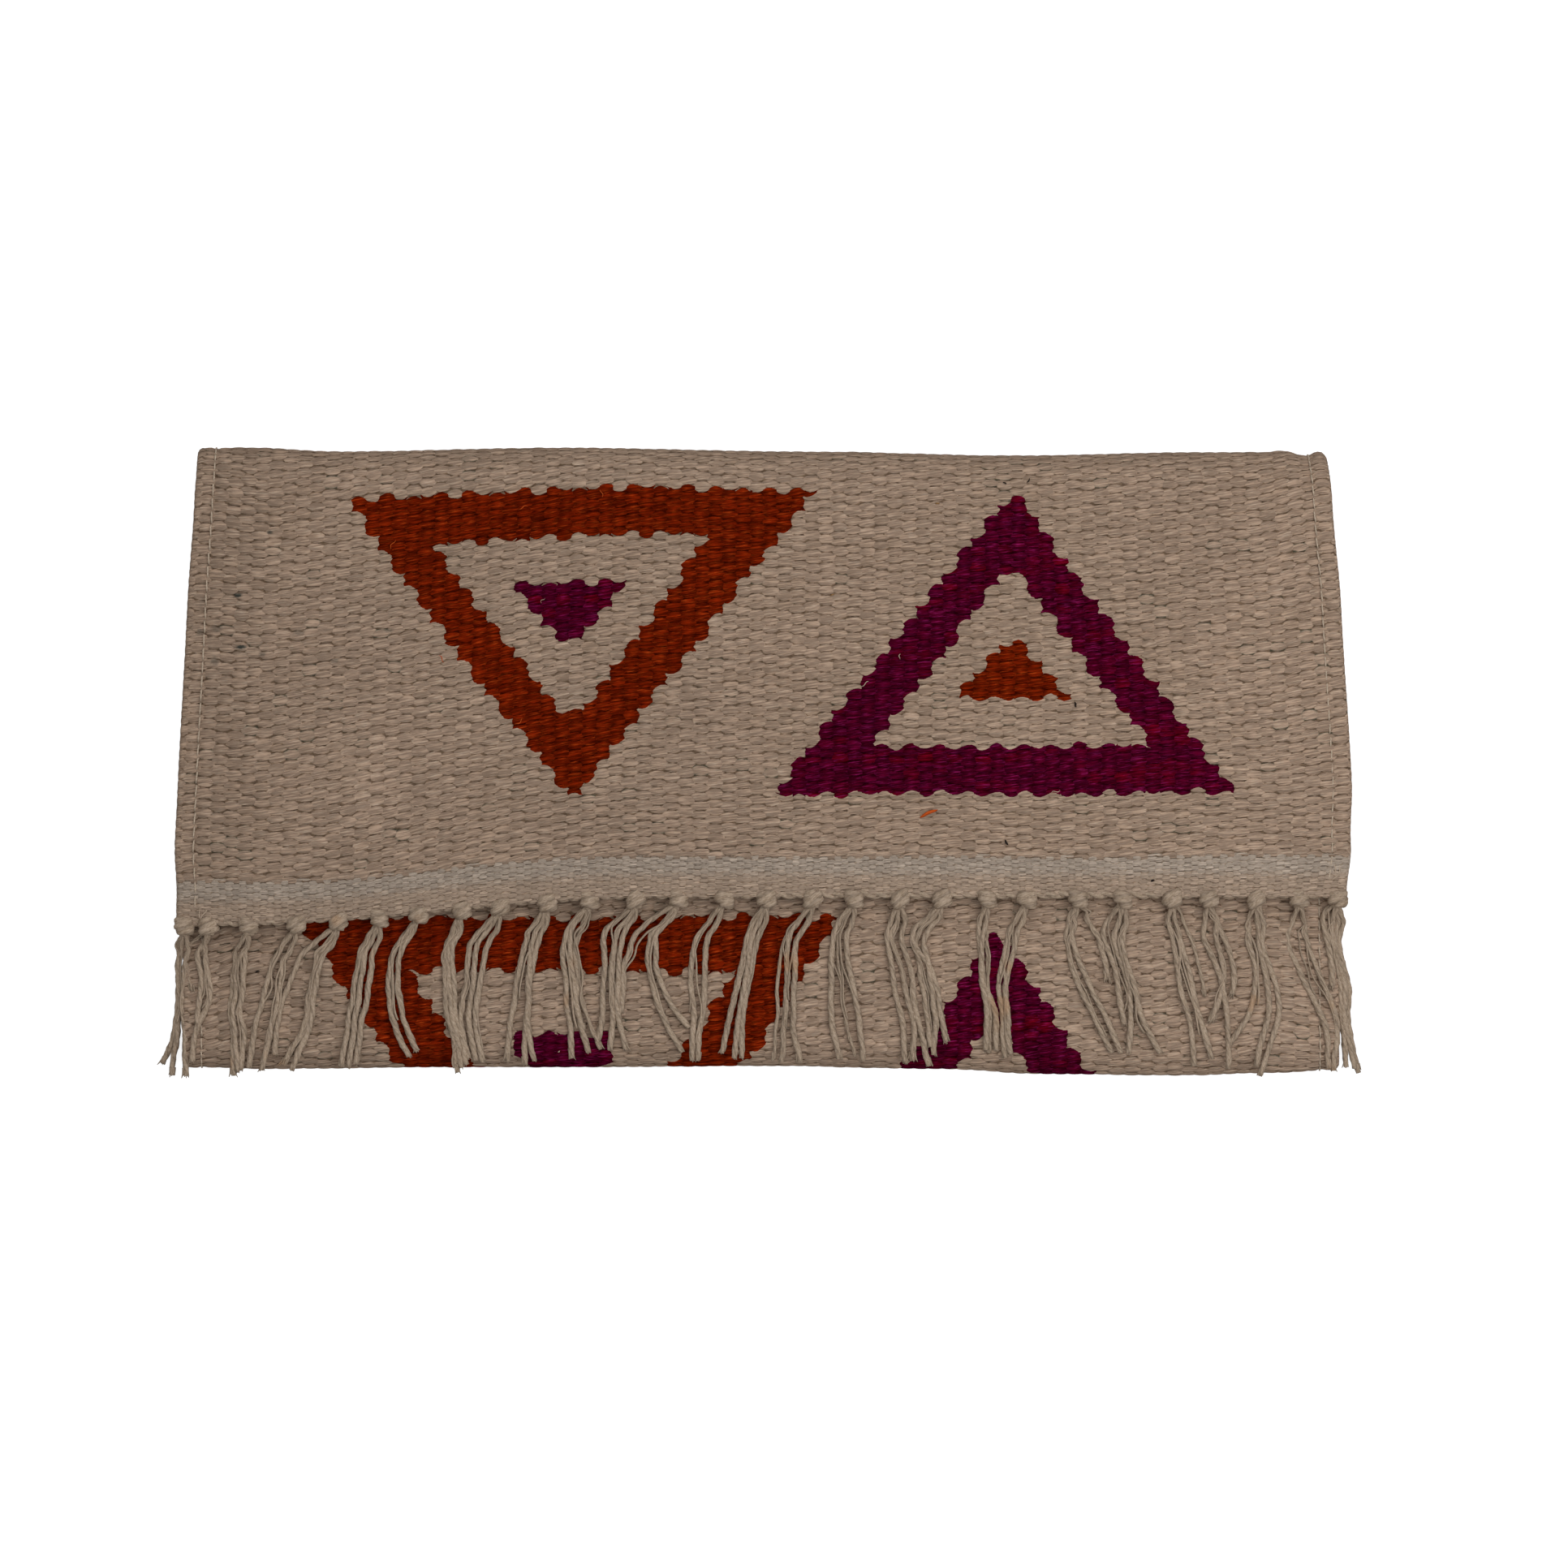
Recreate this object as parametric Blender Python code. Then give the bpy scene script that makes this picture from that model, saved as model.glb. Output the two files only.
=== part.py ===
"""Woven clutch bag: a fold-over flap with a knotted fringe, closed and lying on its back.

One strip of thick flat-woven cloth makes the bag. From its fringed end it runs up as the flap, turns
over the top fold, runs down as the back, turns round the bottom fold and comes up again as the front,
whose free edge is the mouth of the pocket. Stepped triangles of coloured weft are let into its outer
face, a thin lining covers its inner face, a line of thread is stitched down each long edge, and the warp
ends hang from the flap in knotted tassels.

The pieces of the strip are shaped flat and folded afterwards. Flat coordinates are x across the strip,
s along it from the fringed edge, and n above the cloth's outer face, so the cloth lies below n = 0. In
the folded bag +X is the width, +Y points to the top fold and +Z points up out of the flap. The origin is
the centre of the back's outer face. Lengths are in metres.
"""

import math
from dataclasses import dataclass

import bmesh
import bpy
import numpy as np
from mathutils import Vector

MM = 0.001

# Gap left between two pieces that touch
CLEARANCE = 0.3 * MM

# The closed bag
BAG_HEIGHT = 148.4 * MM  # from the top fold to the bottom fold
FOLD_WIDTH = 270.6 * MM  # across the top fold
BASE_WIDTH = 272.8 * MM  # across the bottom fold
FLAP_WIDTH = 280.0 * MM  # across the flap's fringed edge
FLAP_DROP = 107.2 * MM  # from the top fold down to the flap's edge
FLAP_SLANT = 6.6 * MM  # how much lower the flap's edge hangs at the left
SLANT_START = 25.0 * MM  # left of the middle, where the edge starts to hang lower
SLANT_RUN = 100.0 * MM  # further left, where it has come all the way down
MOUTH_DROP = 16.0 * MM  # from the top fold down to the pocket's mouth
POCKET_DEPTH = 6.0 * MM  # free space in the middle of the lined pocket
SEAM_DEPTH = 1.0 * MM  # free space left beside the side seams
PUFF_MARGIN = 21.0 * MM  # width at each side over which the pocket thins

# The cloth, its lining and the side seams
CLOTH_THICKNESS = 3.0 * MM
EDGE_ROUNDING = 0.9 * MM
LINING_THICKNESS = 0.4 * MM
LINING_HEM = 12.0 * MM  # from the fringed edge to the lining
LINING_STEP = 3.0 * MM  # from the mouth's edge to the lining
SEAM_INSET = 1.0 * MM
SEAM_WIDTH = 1.4 * MM
SEAM_BITE = 0.6 * MM  # how far the seam reaches into each wall

# The relief of the weave: a hollow after every second warp, and the thick last row of weft
WARP_PITCH = 3.33 * MM
HOLLOW_WIDTH = 1.6 * MM
HOLLOW_DEPTH = 0.6 * MM
HEM_BAND = 10.0 * MM  # finer weft beside the fringed edge
FOLD_MARGIN = 1.0 * MM  # plain cloth beside a fold
LAST_ROW_RISE = 0.4 * MM
LAST_ROW_STEP = 0.1 * MM  # from the cloth's inner face up to the row's
LAST_ROW_SIDES = 8

# The line of stitches along each long edge
STITCH_INSET = 3.5 * MM
STITCH_WIDTH = 0.6 * MM
STITCH_DEPTH = 0.6 * MM
STITCH_END = 4.0 * MM

# The coloured weft
INLAY_DEPTH = 1.2 * MM
ORANGE_X = -44.3 * MM
PLUM_X = 58.8 * MM
OUTER_STEPS = 8
INNER_STEPS = 5
CENTRE_STEPS = 3
FLAP_ROW_START = 25.6 * MM  # from the fringed edge
LOWER_ROW_RISE = 35.6 * MM  # over the bottom fold, up the front

# The fringe
KNOT_RADIUS = 2.35 * MM
KNOT_NECK = 1.6 * MM
KNOT_LENGTH = 4.8 * MM
KNOT_STATIONS = (0.0, 0.45, 1.0)  # its neck, widest place and lower neck, as shares of its length
KNOT_SIDES = 6
STRAND_RADIUS = 0.95 * MM
STRAND_SIDES = 5
STRAND_SPACING = 0.9 * MM  # between strands where they leave the knot
STRAND_DROOP = 0.9  # fall of a strand for each length that it lies past the bag's side
STRAND_STAGGER = 0.07  # difference in height between the strands' starts, as a share of the knot
STRAND_TURN = 0.31  # difference in turn between the strands' sections, as a share of one side
STRAND_LANDING = 0.33  # share of its length at which a strand has come down from its knot
STRAND_STATIONS = (0.0, 0.2, 0.55, 1.0)
FRINGE_LENGTH = 37.0 * MM

# Each tassel: its knot's place along the flap's edge, as a share of half the edge's width, then its
# lean, spread, bow and length as shares of the fringe's length
TASSELS = (
    (-0.979, -0.114, 0.051, -0.011, 1.000),
    (-0.940, -0.081, 0.024, 0.022, 1.000),
    (-0.874, -0.081, 0.032, -0.014, 0.986),
    (-0.795, -0.162, 0.049, -0.016, 1.000),
    (-0.723, -0.178, 0.054, -0.027, 0.973),
    (-0.654, -0.173, 0.038, -0.041, 1.000),
    (-0.586, -0.086, 0.032, -0.092, 0.932),
    (-0.513, -0.043, 0.038, -0.070, 1.014),
    (-0.444, -0.114, 0.035, -0.065, 1.000),
    (-0.366, -0.119, 0.054, -0.022, 1.014),
    (-0.293, -0.027, 0.070, -0.054, 0.973),
    (-0.214, -0.086, 0.062, -0.065, 0.959),
    (-0.141, -0.043, 0.043, -0.086, 0.973),
    (-0.064, -0.097, 0.038, -0.049, 1.000),
    (0.010, -0.119, 0.054, -0.016, 1.014),
    (0.093, -0.130, 0.059, -0.022, 1.027),
    (0.156, -0.008, 0.065, -0.043, 1.000),
    (0.240, 0.054, 0.059, -0.049, 1.027),
    (0.306, 0.032, 0.049, -0.081, 0.919),
    (0.387, 0.022, 0.035, -0.032, 1.000),
    (0.455, -0.065, 0.032, -0.016, 0.973),
    (0.544, 0.124, 0.038, -0.043, 0.986),
    (0.617, 0.114, 0.059, -0.032, 0.973),
    (0.703, 0.124, 0.049, -0.016, 1.054),
    (0.767, 0.097, 0.041, 0.016, 1.014),
    (0.849, 0.043, 0.043, 0.032, 1.068),
    (0.922, 0.119, 0.041, 0.000, 1.095),
    (0.987, 0.097, 0.041, 0.054, 1.095),
)

FOLD_SEGMENTS = 6  # flat facets round each fold
PUFF_SEGMENTS = 3  # facets over which the pocket thins
SLANT_SEGMENTS = 8  # facets over which the flap's edge comes down
SNAP = 1e-6  # a cut passes through a corner that lies this near

# Colours, as linear red, green and blue
CREAM = (0.24, 0.17, 0.12)
ORANGE = (0.105, 0.010, 0.002)
PLUM = (0.053, 0.001, 0.010)
LINING_COLOUR = (0.30, 0.24, 0.18)

HALF_WIDTH = BASE_WIDTH / 2
WALL = CLOTH_THICKNESS + CLEARANCE + LINING_THICKNESS
TOP_Y = BAG_HEIGHT / 2
FLAP_EDGE_Y = TOP_Y - FLAP_DROP
MOUTH_Y = TOP_Y - MOUTH_DROP


def pocket_depth(x):
    """Free depth of the pocket at x: full over the middle, and less towards the side seams."""
    margin = np.clip((np.abs(x) - HALF_WIDTH + PUFF_MARGIN) / PUFF_MARGIN, 0, 1)
    return SEAM_DEPTH + (POCKET_DEPTH - SEAM_DEPTH) * (1 + np.cos(math.pi * margin)) / 2


def front_height(x):
    """Height of the front's outer face over the floor: two lined walls and the pocket between."""
    return 2 * WALL + pocket_depth(x)


def flap_height(x):
    """Height of the flap's outer face: one more lined wall, which lies on the front."""
    return front_height(x) + CLEARANCE + WALL


# Places along the strip where it starts and ends each fold, and its length
TOP_START = TOP_Y - flap_height(0.0) / 2 - FLAP_EDGE_Y
TOP_END = TOP_START + math.pi * flap_height(0.0) / 2
BOTTOM_START = TOP_END + BAG_HEIGHT - (flap_height(0.0) + front_height(0.0)) / 2
BOTTOM_END = BOTTOM_START + math.pi * front_height(0.0) / 2
STRIP_LENGTH = BOTTOM_END + MOUTH_Y + TOP_Y - front_height(0.0) / 2


@dataclass(frozen=True)
class MotifRow:
    """A row of two nested stepped triangles. Insets run from the base of the outer triangle."""

    name: str
    start: float
    height: float
    half_width: float
    inner_inset: float
    inner_height: float
    inner_half_width: float
    centre_inset: float
    centre_height: float
    centre_half_width: float
    shift: float


FLAP_ROW = MotifRow(
    name="flap",
    start=FLAP_ROW_START,
    height=71.0 * MM,
    half_width=55.0 * MM,
    inner_inset=11.0 * MM,
    inner_height=41.3 * MM,
    inner_half_width=33.3 * MM,
    centre_inset=21.7 * MM,
    centre_height=14.2 * MM,
    centre_half_width=13.4 * MM,
    shift=0.0,
)
LOWER_HEIGHT = 94.0 * MM
LOWER_ROW = MotifRow(
    name="lower",
    start=BOTTOM_END + LOWER_ROW_RISE - front_height(0.0) / 2 - LOWER_HEIGHT,
    height=LOWER_HEIGHT,
    half_width=63.0 * MM,
    inner_inset=12.6 * MM,
    inner_height=63.0 * MM,
    inner_half_width=39.3 * MM,
    centre_inset=28.0 * MM,
    centre_height=19.4 * MM,
    centre_half_width=12.6 * MM,
    shift=-2.2 * MM,
)


def body_half_width(y):
    """Half of the bag's width at y, from the top fold's to the bottom fold's."""
    return FOLD_WIDTH / 2 + (BASE_WIDTH - FOLD_WIDTH) / 2 * (TOP_Y - y) / BAG_HEIGHT


def edge_hang(x):
    """How much lower the flap's fringed edge hangs at x than at the right."""
    share = np.clip((-x - SLANT_START) / SLANT_RUN, 0, 1)
    return FLAP_SLANT * share**2 * (3 - 2 * share)


def slanted(points):
    """Flat points with the weave's rows let down at the left, less and less along flap and back."""
    x, s, n = points.T
    fade = np.clip(1 - s / BOTTOM_START, 0, 1)
    return np.column_stack([x, s - edge_hang(x) * fade, n])


def folded(points):
    """Flat points carried onto the folded strip."""
    x, s, n = points.T
    top = flap_height(x) / 2
    bottom = front_height(x) / 2
    top_y = TOP_Y - top
    bottom_y = bottom - TOP_Y
    top_angle = math.pi * (s - TOP_START) / (TOP_END - TOP_START)
    bottom_angle = math.pi * (s - BOTTOM_START) / (BOTTOM_END - BOTTOM_START)
    places = [s < TOP_START, s < TOP_END, s < BOTTOM_START, s < BOTTOM_END]
    y = np.select(
        places,
        [
            FLAP_EDGE_Y + (top_y - FLAP_EDGE_Y) * s / TOP_START,
            top_y + (top + n) * np.sin(top_angle),
            top_y + (bottom_y - top_y) * (s - TOP_END) / (BOTTOM_START - TOP_END),
            bottom_y - (bottom + n) * np.sin(bottom_angle),
        ],
        bottom_y + (MOUTH_Y - bottom_y) * (s - BOTTOM_END) / (STRIP_LENGTH - BOTTOM_END),
    )
    z = np.select(
        places,
        [
            2 * top + n,
            top + (top + n) * np.cos(top_angle),
            -n,
            bottom - (bottom + n) * np.cos(bottom_angle),
        ],
        2 * bottom + n,
    )
    flare = (FLAP_WIDTH / 2 - body_half_width(FLAP_EDGE_Y)) * (top_y - y) / (top_y - FLAP_EDGE_Y)
    half_width = body_half_width(y) + np.where(s < TOP_START, flare, 0)
    return np.column_stack([x * half_width / HALF_WIDTH, y, z])


def material(name, colour, roughness):
    """A plain cloth material."""
    made = bpy.data.materials.new(name)
    made.use_nodes = True
    shader = made.node_tree.nodes["Principled BSDF"]
    shader.inputs["Base Color"].default_value = (*colour, 1.0)
    shader.inputs["Roughness"].default_value = roughness
    shader.inputs["Metallic"].default_value = 0.0
    return made


def add_object(name, bm):
    """A new object that holds the mesh, with its faces turned outwards."""
    bmesh.ops.recalc_face_normals(bm, faces=bm.faces[:])
    mesh = bpy.data.meshes.new(name)
    bm.to_mesh(mesh)
    bm.free()
    made = bpy.data.objects.new(name, mesh)
    bpy.context.collection.objects.link(made)
    return made


def add_loft(bm, sections):
    """A closed solid through sections of as many corners each, with both ends capped."""
    rings = [[bm.verts.new(corner) for corner in section] for section in sections]
    for low, high in zip(rings, rings[1:]):
        for i in range(len(low)):
            j = (i + 1) % len(low)
            bm.faces.new((low[i], low[j], high[j], high[i]))
    bm.faces.new(rings[0])
    bm.faces.new(reversed(rings[-1]))


def loft(name, sections):
    bm = bmesh.new()
    add_loft(bm, sections)
    return add_object(name, bm)


def box(name, low, high):
    corners = ((0, 0), (1, 0), (1, 1), (0, 1))
    sections = [
        [((low[0], high[0])[i], y, (low[2], high[2])[k]) for i, k in corners]
        for y in (low[1], high[1])
    ]
    return loft(name, sections)


def combine(target, tool, operation):
    """Joins the tool to the target or cuts it from the target, and removes the tool."""
    modifier = target.modifiers.new(operation.title(), "BOOLEAN")
    modifier.operation = operation
    modifier.object = tool
    bpy.context.view_layer.update()
    graph = bpy.context.evaluated_depsgraph_get()
    result = bpy.data.meshes.new_from_object(target.evaluated_get(graph))
    target.modifiers.clear()
    target.data = result
    bpy.data.objects.remove(tool)


def split(bm, point, normal, below=None):
    """Cuts the faces along a plane, or only those whose corners lie below a length s."""
    faces = [f for f in bm.faces if below is None or all(v.co.y < below for v in f.verts)]
    around = {part for face in faces for part in (*face.edges, *face.verts)}
    bmesh.ops.bisect_plane(
        bm,
        geom=[*faces, *around],
        dist=SNAP,
        plane_co=Vector(point),
        plane_no=Vector(normal),
    )


def move_points(bm, mapping):
    points = np.array([vert.co for vert in bm.verts])
    for vert, place in zip(bm.verts, mapping(points)):
        vert.co = place


def fold(obj):
    """Folds a flat piece, after cutting its faces at each line where the folded strip turns."""
    bm = bmesh.new()
    bm.from_mesh(obj.data)
    for i in range(PUFF_SEGMENTS):
        line = HALF_WIDTH - PUFF_MARGIN + PUFF_MARGIN * i / PUFF_SEGMENTS
        split(bm, (-line, 0, 0), (1, 0, 0))
        split(bm, (line, 0, 0), (1, 0, 0))
    split(bm, (0, TOP_START, 0), (0, 1, 0))
    for i in range(SLANT_SEGMENTS):
        line = -SLANT_START - SLANT_RUN * i / SLANT_SEGMENTS
        split(bm, (line, 0, 0), (1, 0, 0), below=TOP_START + SNAP)
    move_points(bm, slanted)
    for start, end in ((TOP_START, TOP_END), (BOTTOM_START, BOTTOM_END)):
        for i in range(FOLD_SEGMENTS + 1):
            split(bm, (0, start + (end - start) * i / FOLD_SEGMENTS, 0), (0, 1, 0))
    bmesh.ops.triangulate(bm, faces=bm.faces[:])
    move_points(bm, folded)
    bm.to_mesh(obj.data)
    bm.free()
    obj.data.set_sharp_from_angle(angle=math.radians(40))


def stepped_triangle(centre, base, direction, half_width, height, steps, grow):
    """Outline of a triangle with stepped sides, in x and s, with every side moved out by grow."""
    right = []
    for step in range(steps):
        half = half_width * (1 - step / (steps - 0.5)) + grow
        low = height * step / steps + (grow if step else -grow)
        high = height * (step + 1) / steps + grow
        right += [(half, low), (half, high)]
    outline = right + [(-half, level) for half, level in reversed(right)]
    return [(centre + half, base + direction * level) for half, level in outline]


def prism(name, outline, low, high):
    """The solid over an outline in x and s, between two heights n."""
    return loft(name, [[(x, s, n) for x, s in outline] for n in (low, high)])


def triangle_ring(name, row, centre, base, direction, low, high, grow):
    """The outer stepped triangle of a motif, less the inner one."""
    outer = stepped_triangle(
        centre, base, direction, row.half_width, row.height, OUTER_STEPS, grow
    )
    inner = stepped_triangle(
        centre,
        base + direction * row.inner_inset,
        direction,
        row.inner_half_width,
        row.inner_height,
        INNER_STEPS,
        -grow,
    )
    ring = prism(name, outer, low, high)
    combine(ring, prism("inner_cutter", inner, low - MM, high + MM), "DIFFERENCE")
    return ring


def triangle_centre(name, row, centre, base, direction, low, high, grow):
    """The small stepped triangle in the middle of a motif."""
    outline = stepped_triangle(
        centre,
        base + direction * row.centre_inset,
        direction,
        row.centre_half_width,
        row.centre_height,
        CENTRE_STEPS,
        grow,
    )
    return prism(name, outline, low, high)


def motifs(row):
    """Name, maker, place and direction of each coloured field in a row."""
    end = row.start + row.height
    orange = (ORANGE_X + row.shift, end, -1)
    plum = (PLUM_X + row.shift, row.start, 1)
    return (
        (f"orange_triangle_{row.name}", triangle_ring, orange, "orange"),
        (f"plum_centre_{row.name}", triangle_centre, orange, "plum"),
        (f"plum_triangle_{row.name}", triangle_ring, plum, "plum"),
        (f"orange_centre_{row.name}", triangle_centre, plum, "orange"),
    )


def warp_hollows(start, end):
    """A cutter for the hollows between pairs of warp columns, from start to end along the strip."""
    bm = bmesh.new()
    room = HALF_WIDTH - STITCH_INSET - STITCH_WIDTH - HOLLOW_WIDTH
    pitch = 2 * WARP_PITCH
    count = math.floor(2 * room / pitch) + 1
    half = HOLLOW_WIDTH / 2 * (HOLLOW_DEPTH + MM) / HOLLOW_DEPTH
    for i in range(count):
        x = (i - (count - 1) / 2) * pitch
        add_loft(
            bm, [((x - half, s, MM), (x + half, s, MM), (x, s, -HOLLOW_DEPTH)) for s in (start, end)]
        )
    return add_object("hollow_cutter", bm)


def last_row():
    """The thick last row of weft, along the fringed edge."""
    radius = (CLOTH_THICKNESS + LAST_ROW_RISE - LAST_ROW_STEP) / 2
    reach = HALF_WIDTH - EDGE_ROUNDING / 2
    angles = [2 * math.pi * (i + 0.5) / LAST_ROW_SIDES for i in range(LAST_ROW_SIDES)]
    sections = [
        [
            (x, radius * (1 + math.cos(a)), LAST_ROW_RISE - radius * (1 - math.sin(a)))
            for a in angles
        ]
        for x in (-reach, reach)
    ]
    return loft("last_row", sections)


def flat_cloth():
    """The strip of cloth, flat, with rounded long edges."""
    e = EDGE_ROUNDING
    right = [
        (HALF_WIDTH - e, 0),
        (HALF_WIDTH, -e),
        (HALF_WIDTH, e - CLOTH_THICKNESS),
        (HALF_WIDTH - e, -CLOTH_THICKNESS),
    ]
    outline = right + [(-x, n) for x, n in reversed(right)]
    ends = (CLOTH_THICKNESS / 2, STRIP_LENGTH)
    return loft("woven_cloth", [[(x, s, n) for x, n in outline] for s in ends])


def stitch_span(side, gap):
    """Range of x of a line of stitches, widened by a gap."""
    centre = side * (HALF_WIDTH - STITCH_INSET)
    return centre - STITCH_WIDTH / 2 - gap, centre + STITCH_WIDTH / 2 + gap


def side_seam(side):
    """The stitched seam that closes one side of the pocket, between its two walls."""
    outside = HALF_WIDTH - SEAM_INSET
    inside = outside - SEAM_WIDTH
    bottom = front_height(inside) / 2
    low_y = bottom - TOP_Y - (bottom - CLOTH_THICKNESS) - SEAM_BITE
    high_y = MOUTH_Y - EDGE_ROUNDING
    low_z = CLOTH_THICKNESS - SEAM_BITE
    high_z = 2 * bottom - CLOTH_THICKNESS + SEAM_BITE
    corners = ((inside, low_z), (outside, low_z), (outside, high_z), (inside, high_z))
    sections = [
        [(side * x * body_half_width(y) / HALF_WIDTH, y, z) for x, z in corners]
        for y in (low_y, high_y)
    ]
    return loft("side_seam", sections)


def add_woven_cloth():
    """The folded cloth with its relief, the recesses for the coloured weft and the side seams."""
    cloth = flat_cloth()
    combine(cloth, last_row(), "UNION")
    for row in (FLAP_ROW, LOWER_ROW):
        for name, maker, place, _ in motifs(row):
            combine(cloth, maker(name, row, *place, -INLAY_DEPTH, MM, 0.0), "DIFFERENCE")
    for side in (-1, 1):
        low, high = stitch_span(side, CLEARANCE)
        depth = STITCH_DEPTH + CLEARANCE
        cutter = box("stitch_cutter", (low, -MM, -depth), (high, STRIP_LENGTH + MM, MM))
        combine(cloth, cutter, "DIFFERENCE")
    flap_end = TOP_START - FOLD_MARGIN
    front_start = BOTTOM_END + FOLD_MARGIN
    combine(cloth, warp_hollows(HEM_BAND, flap_end), "DIFFERENCE")
    combine(cloth, warp_hollows(front_start, STRIP_LENGTH - FOLD_MARGIN), "DIFFERENCE")
    fold(cloth)
    for side in (-1, 1):
        combine(cloth, side_seam(side), "UNION")
    return cloth


def add_coloured_weft():
    """The coloured fields, each a little smaller than its recess, and the colour of each."""
    made = []
    for row in (FLAP_ROW, LOWER_ROW):
        for name, maker, place, colour in motifs(row):
            field = maker(name, row, *place, CLEARANCE - INLAY_DEPTH, 0.0, -CLEARANCE)
            fold(field)
            made.append((field, colour))
    return made


def add_lining():
    half = HALF_WIDTH - SEAM_INSET - SEAM_WIDTH - CLEARANCE
    low = (-half, LINING_HEM, -WALL)
    high = (half, STRIP_LENGTH - LINING_STEP, -CLOTH_THICKNESS - CLEARANCE)
    lining = box("lining", low, high)
    fold(lining)
    return lining


def add_stitching(name, side):
    low, high = stitch_span(side, 0.0)
    thread = box(name, (low, STITCH_END, -STITCH_DEPTH), (high, STRIP_LENGTH - STITCH_END, 0.0))
    fold(thread)
    return thread


def rest_height(x, y):
    """Height of what a strand lies on: the front, or nothing past its side, where it droops."""
    edge = body_half_width(y)
    on_front = front_height(min(abs(x) * HALF_WIDTH / edge, HALF_WIDTH))
    return max(on_front - STRAND_DROOP * max(abs(x) - edge, 0), 0)


def disc(x, y, z, radius, sides, turn=0.0):
    """Corners of a round section that faces along Y, turned by a share of one side."""
    angles = [2 * math.pi * (i + turn) / sides for i in range(sides)]
    return [(x + radius * math.cos(a), y, z + radius * math.sin(a)) for a in angles]


def knot_height(x):
    """Height of a knot's middle: it hangs from the flap's edge and lies on what the flap lies on."""
    return front_height(x * HALF_WIDTH / (FLAP_WIDTH / 2)) + CLEARANCE + KNOT_RADIUS


def add_knot(name, x, top_y):
    """The overhand knot that gathers a tassel's warp ends, just under the flap's edge."""
    z = knot_height(x)
    stations = zip(KNOT_STATIONS, (KNOT_NECK, KNOT_RADIUS, KNOT_NECK))
    return loft(
        name, [disc(x, top_y - KNOT_LENGTH * at, z, r, KNOT_SIDES) for at, r in stations]
    )


def strand(x, top_y, place, lean, spread, bow, length):
    """One warp end, from inside its knot to its cut end. Place is -1, 0 or 1 across the tassel."""
    start_y = top_y - KNOT_LENGTH * (0.5 + STRAND_STAGGER * place)
    end_y = top_y - length
    sections = []
    for t in STRAND_STATIONS:
        y = start_y + (end_y - start_y) * t
        across = place * (STRAND_SPACING * (1 - t) + spread * t) + lean * t
        at_x = x + across + bow * math.sin(math.pi * t)
        resting = rest_height(at_x, y) + CLEARANCE + STRAND_RADIUS
        z = resting + (knot_height(x) - resting) * max(1 - t / STRAND_LANDING, 0)
        turn = 0.25 + STRAND_TURN * place
        sections.append(disc(at_x, y, z, STRAND_RADIUS, STRAND_SIDES, turn))
    return loft("strand", sections)


def add_tassel(number, x, lean, spread, bow, length):
    """A knot and the warp ends that hang from it, as one solid."""
    top_y = FLAP_EDGE_Y - float(edge_hang(x)) - CLEARANCE
    tassel = add_knot(f"tassel_{number:02d}", x, top_y)
    for place in (-1, 0, 1):
        combine(tassel, strand(x, top_y, place, lean, spread, bow, length), "UNION")
    tassel.data.set_sharp_from_angle(angle=math.radians(50))
    return tassel


def main():
    for obj in list(bpy.data.objects):
        bpy.data.objects.remove(obj)
    cream = material("cream_cotton", CREAM, 0.95)
    colours = {
        "orange": material("orange_wool", ORANGE, 0.95),
        "plum": material("plum_wool", PLUM, 0.95),
    }
    add_woven_cloth().data.materials.append(cream)
    for field, colour in add_coloured_weft():
        field.data.materials.append(colours[colour])
    add_lining().data.materials.append(material("lining_cotton", LINING_COLOUR, 0.9))
    thread = material("stitching_thread", CREAM, 0.7)
    add_stitching("edge_stitching_left", -1).data.materials.append(thread)
    add_stitching("edge_stitching_right", 1).data.materials.append(thread)
    fringe = material("fringe_cotton", CREAM, 0.9)
    for number, (place, *shape) in enumerate(TASSELS, 1):
        tassel = add_tassel(
            number, place * FLAP_WIDTH / 2, *(share * FRINGE_LENGTH for share in shape)
        )
        tassel.data.materials.append(fringe)


if __name__ == "__main__":
    main()
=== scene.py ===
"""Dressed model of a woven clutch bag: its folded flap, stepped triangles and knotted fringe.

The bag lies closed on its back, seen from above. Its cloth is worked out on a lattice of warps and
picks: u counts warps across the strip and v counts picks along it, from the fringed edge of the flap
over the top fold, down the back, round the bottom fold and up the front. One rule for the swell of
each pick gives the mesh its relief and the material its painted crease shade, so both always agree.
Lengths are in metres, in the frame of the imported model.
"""

import logging
import math
from dataclasses import astuple, dataclass, field
from enum import Enum
from functools import partialmethod
from types import ModuleType
from typing import NamedTuple, Sequence

import bpy
import numpy as np
from bpy.types import Material, NodeSocket, NodeTree, Object
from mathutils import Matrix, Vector


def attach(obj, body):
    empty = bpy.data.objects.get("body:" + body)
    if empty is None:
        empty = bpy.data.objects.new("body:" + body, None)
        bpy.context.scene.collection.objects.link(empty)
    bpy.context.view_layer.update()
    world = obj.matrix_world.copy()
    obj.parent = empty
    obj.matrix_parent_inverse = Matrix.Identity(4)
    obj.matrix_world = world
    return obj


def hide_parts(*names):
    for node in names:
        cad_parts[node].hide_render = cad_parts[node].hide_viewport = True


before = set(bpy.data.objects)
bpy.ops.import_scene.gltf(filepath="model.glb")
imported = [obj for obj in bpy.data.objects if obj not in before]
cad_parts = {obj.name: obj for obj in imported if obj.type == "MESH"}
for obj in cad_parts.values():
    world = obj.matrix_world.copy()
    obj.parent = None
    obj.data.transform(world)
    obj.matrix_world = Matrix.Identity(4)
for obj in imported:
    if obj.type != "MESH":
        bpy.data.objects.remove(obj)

MM = 0.001
BODY = "root"
LATTICE = "weave"  # mesh attribute: warp count, pick count and share of the open face
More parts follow.
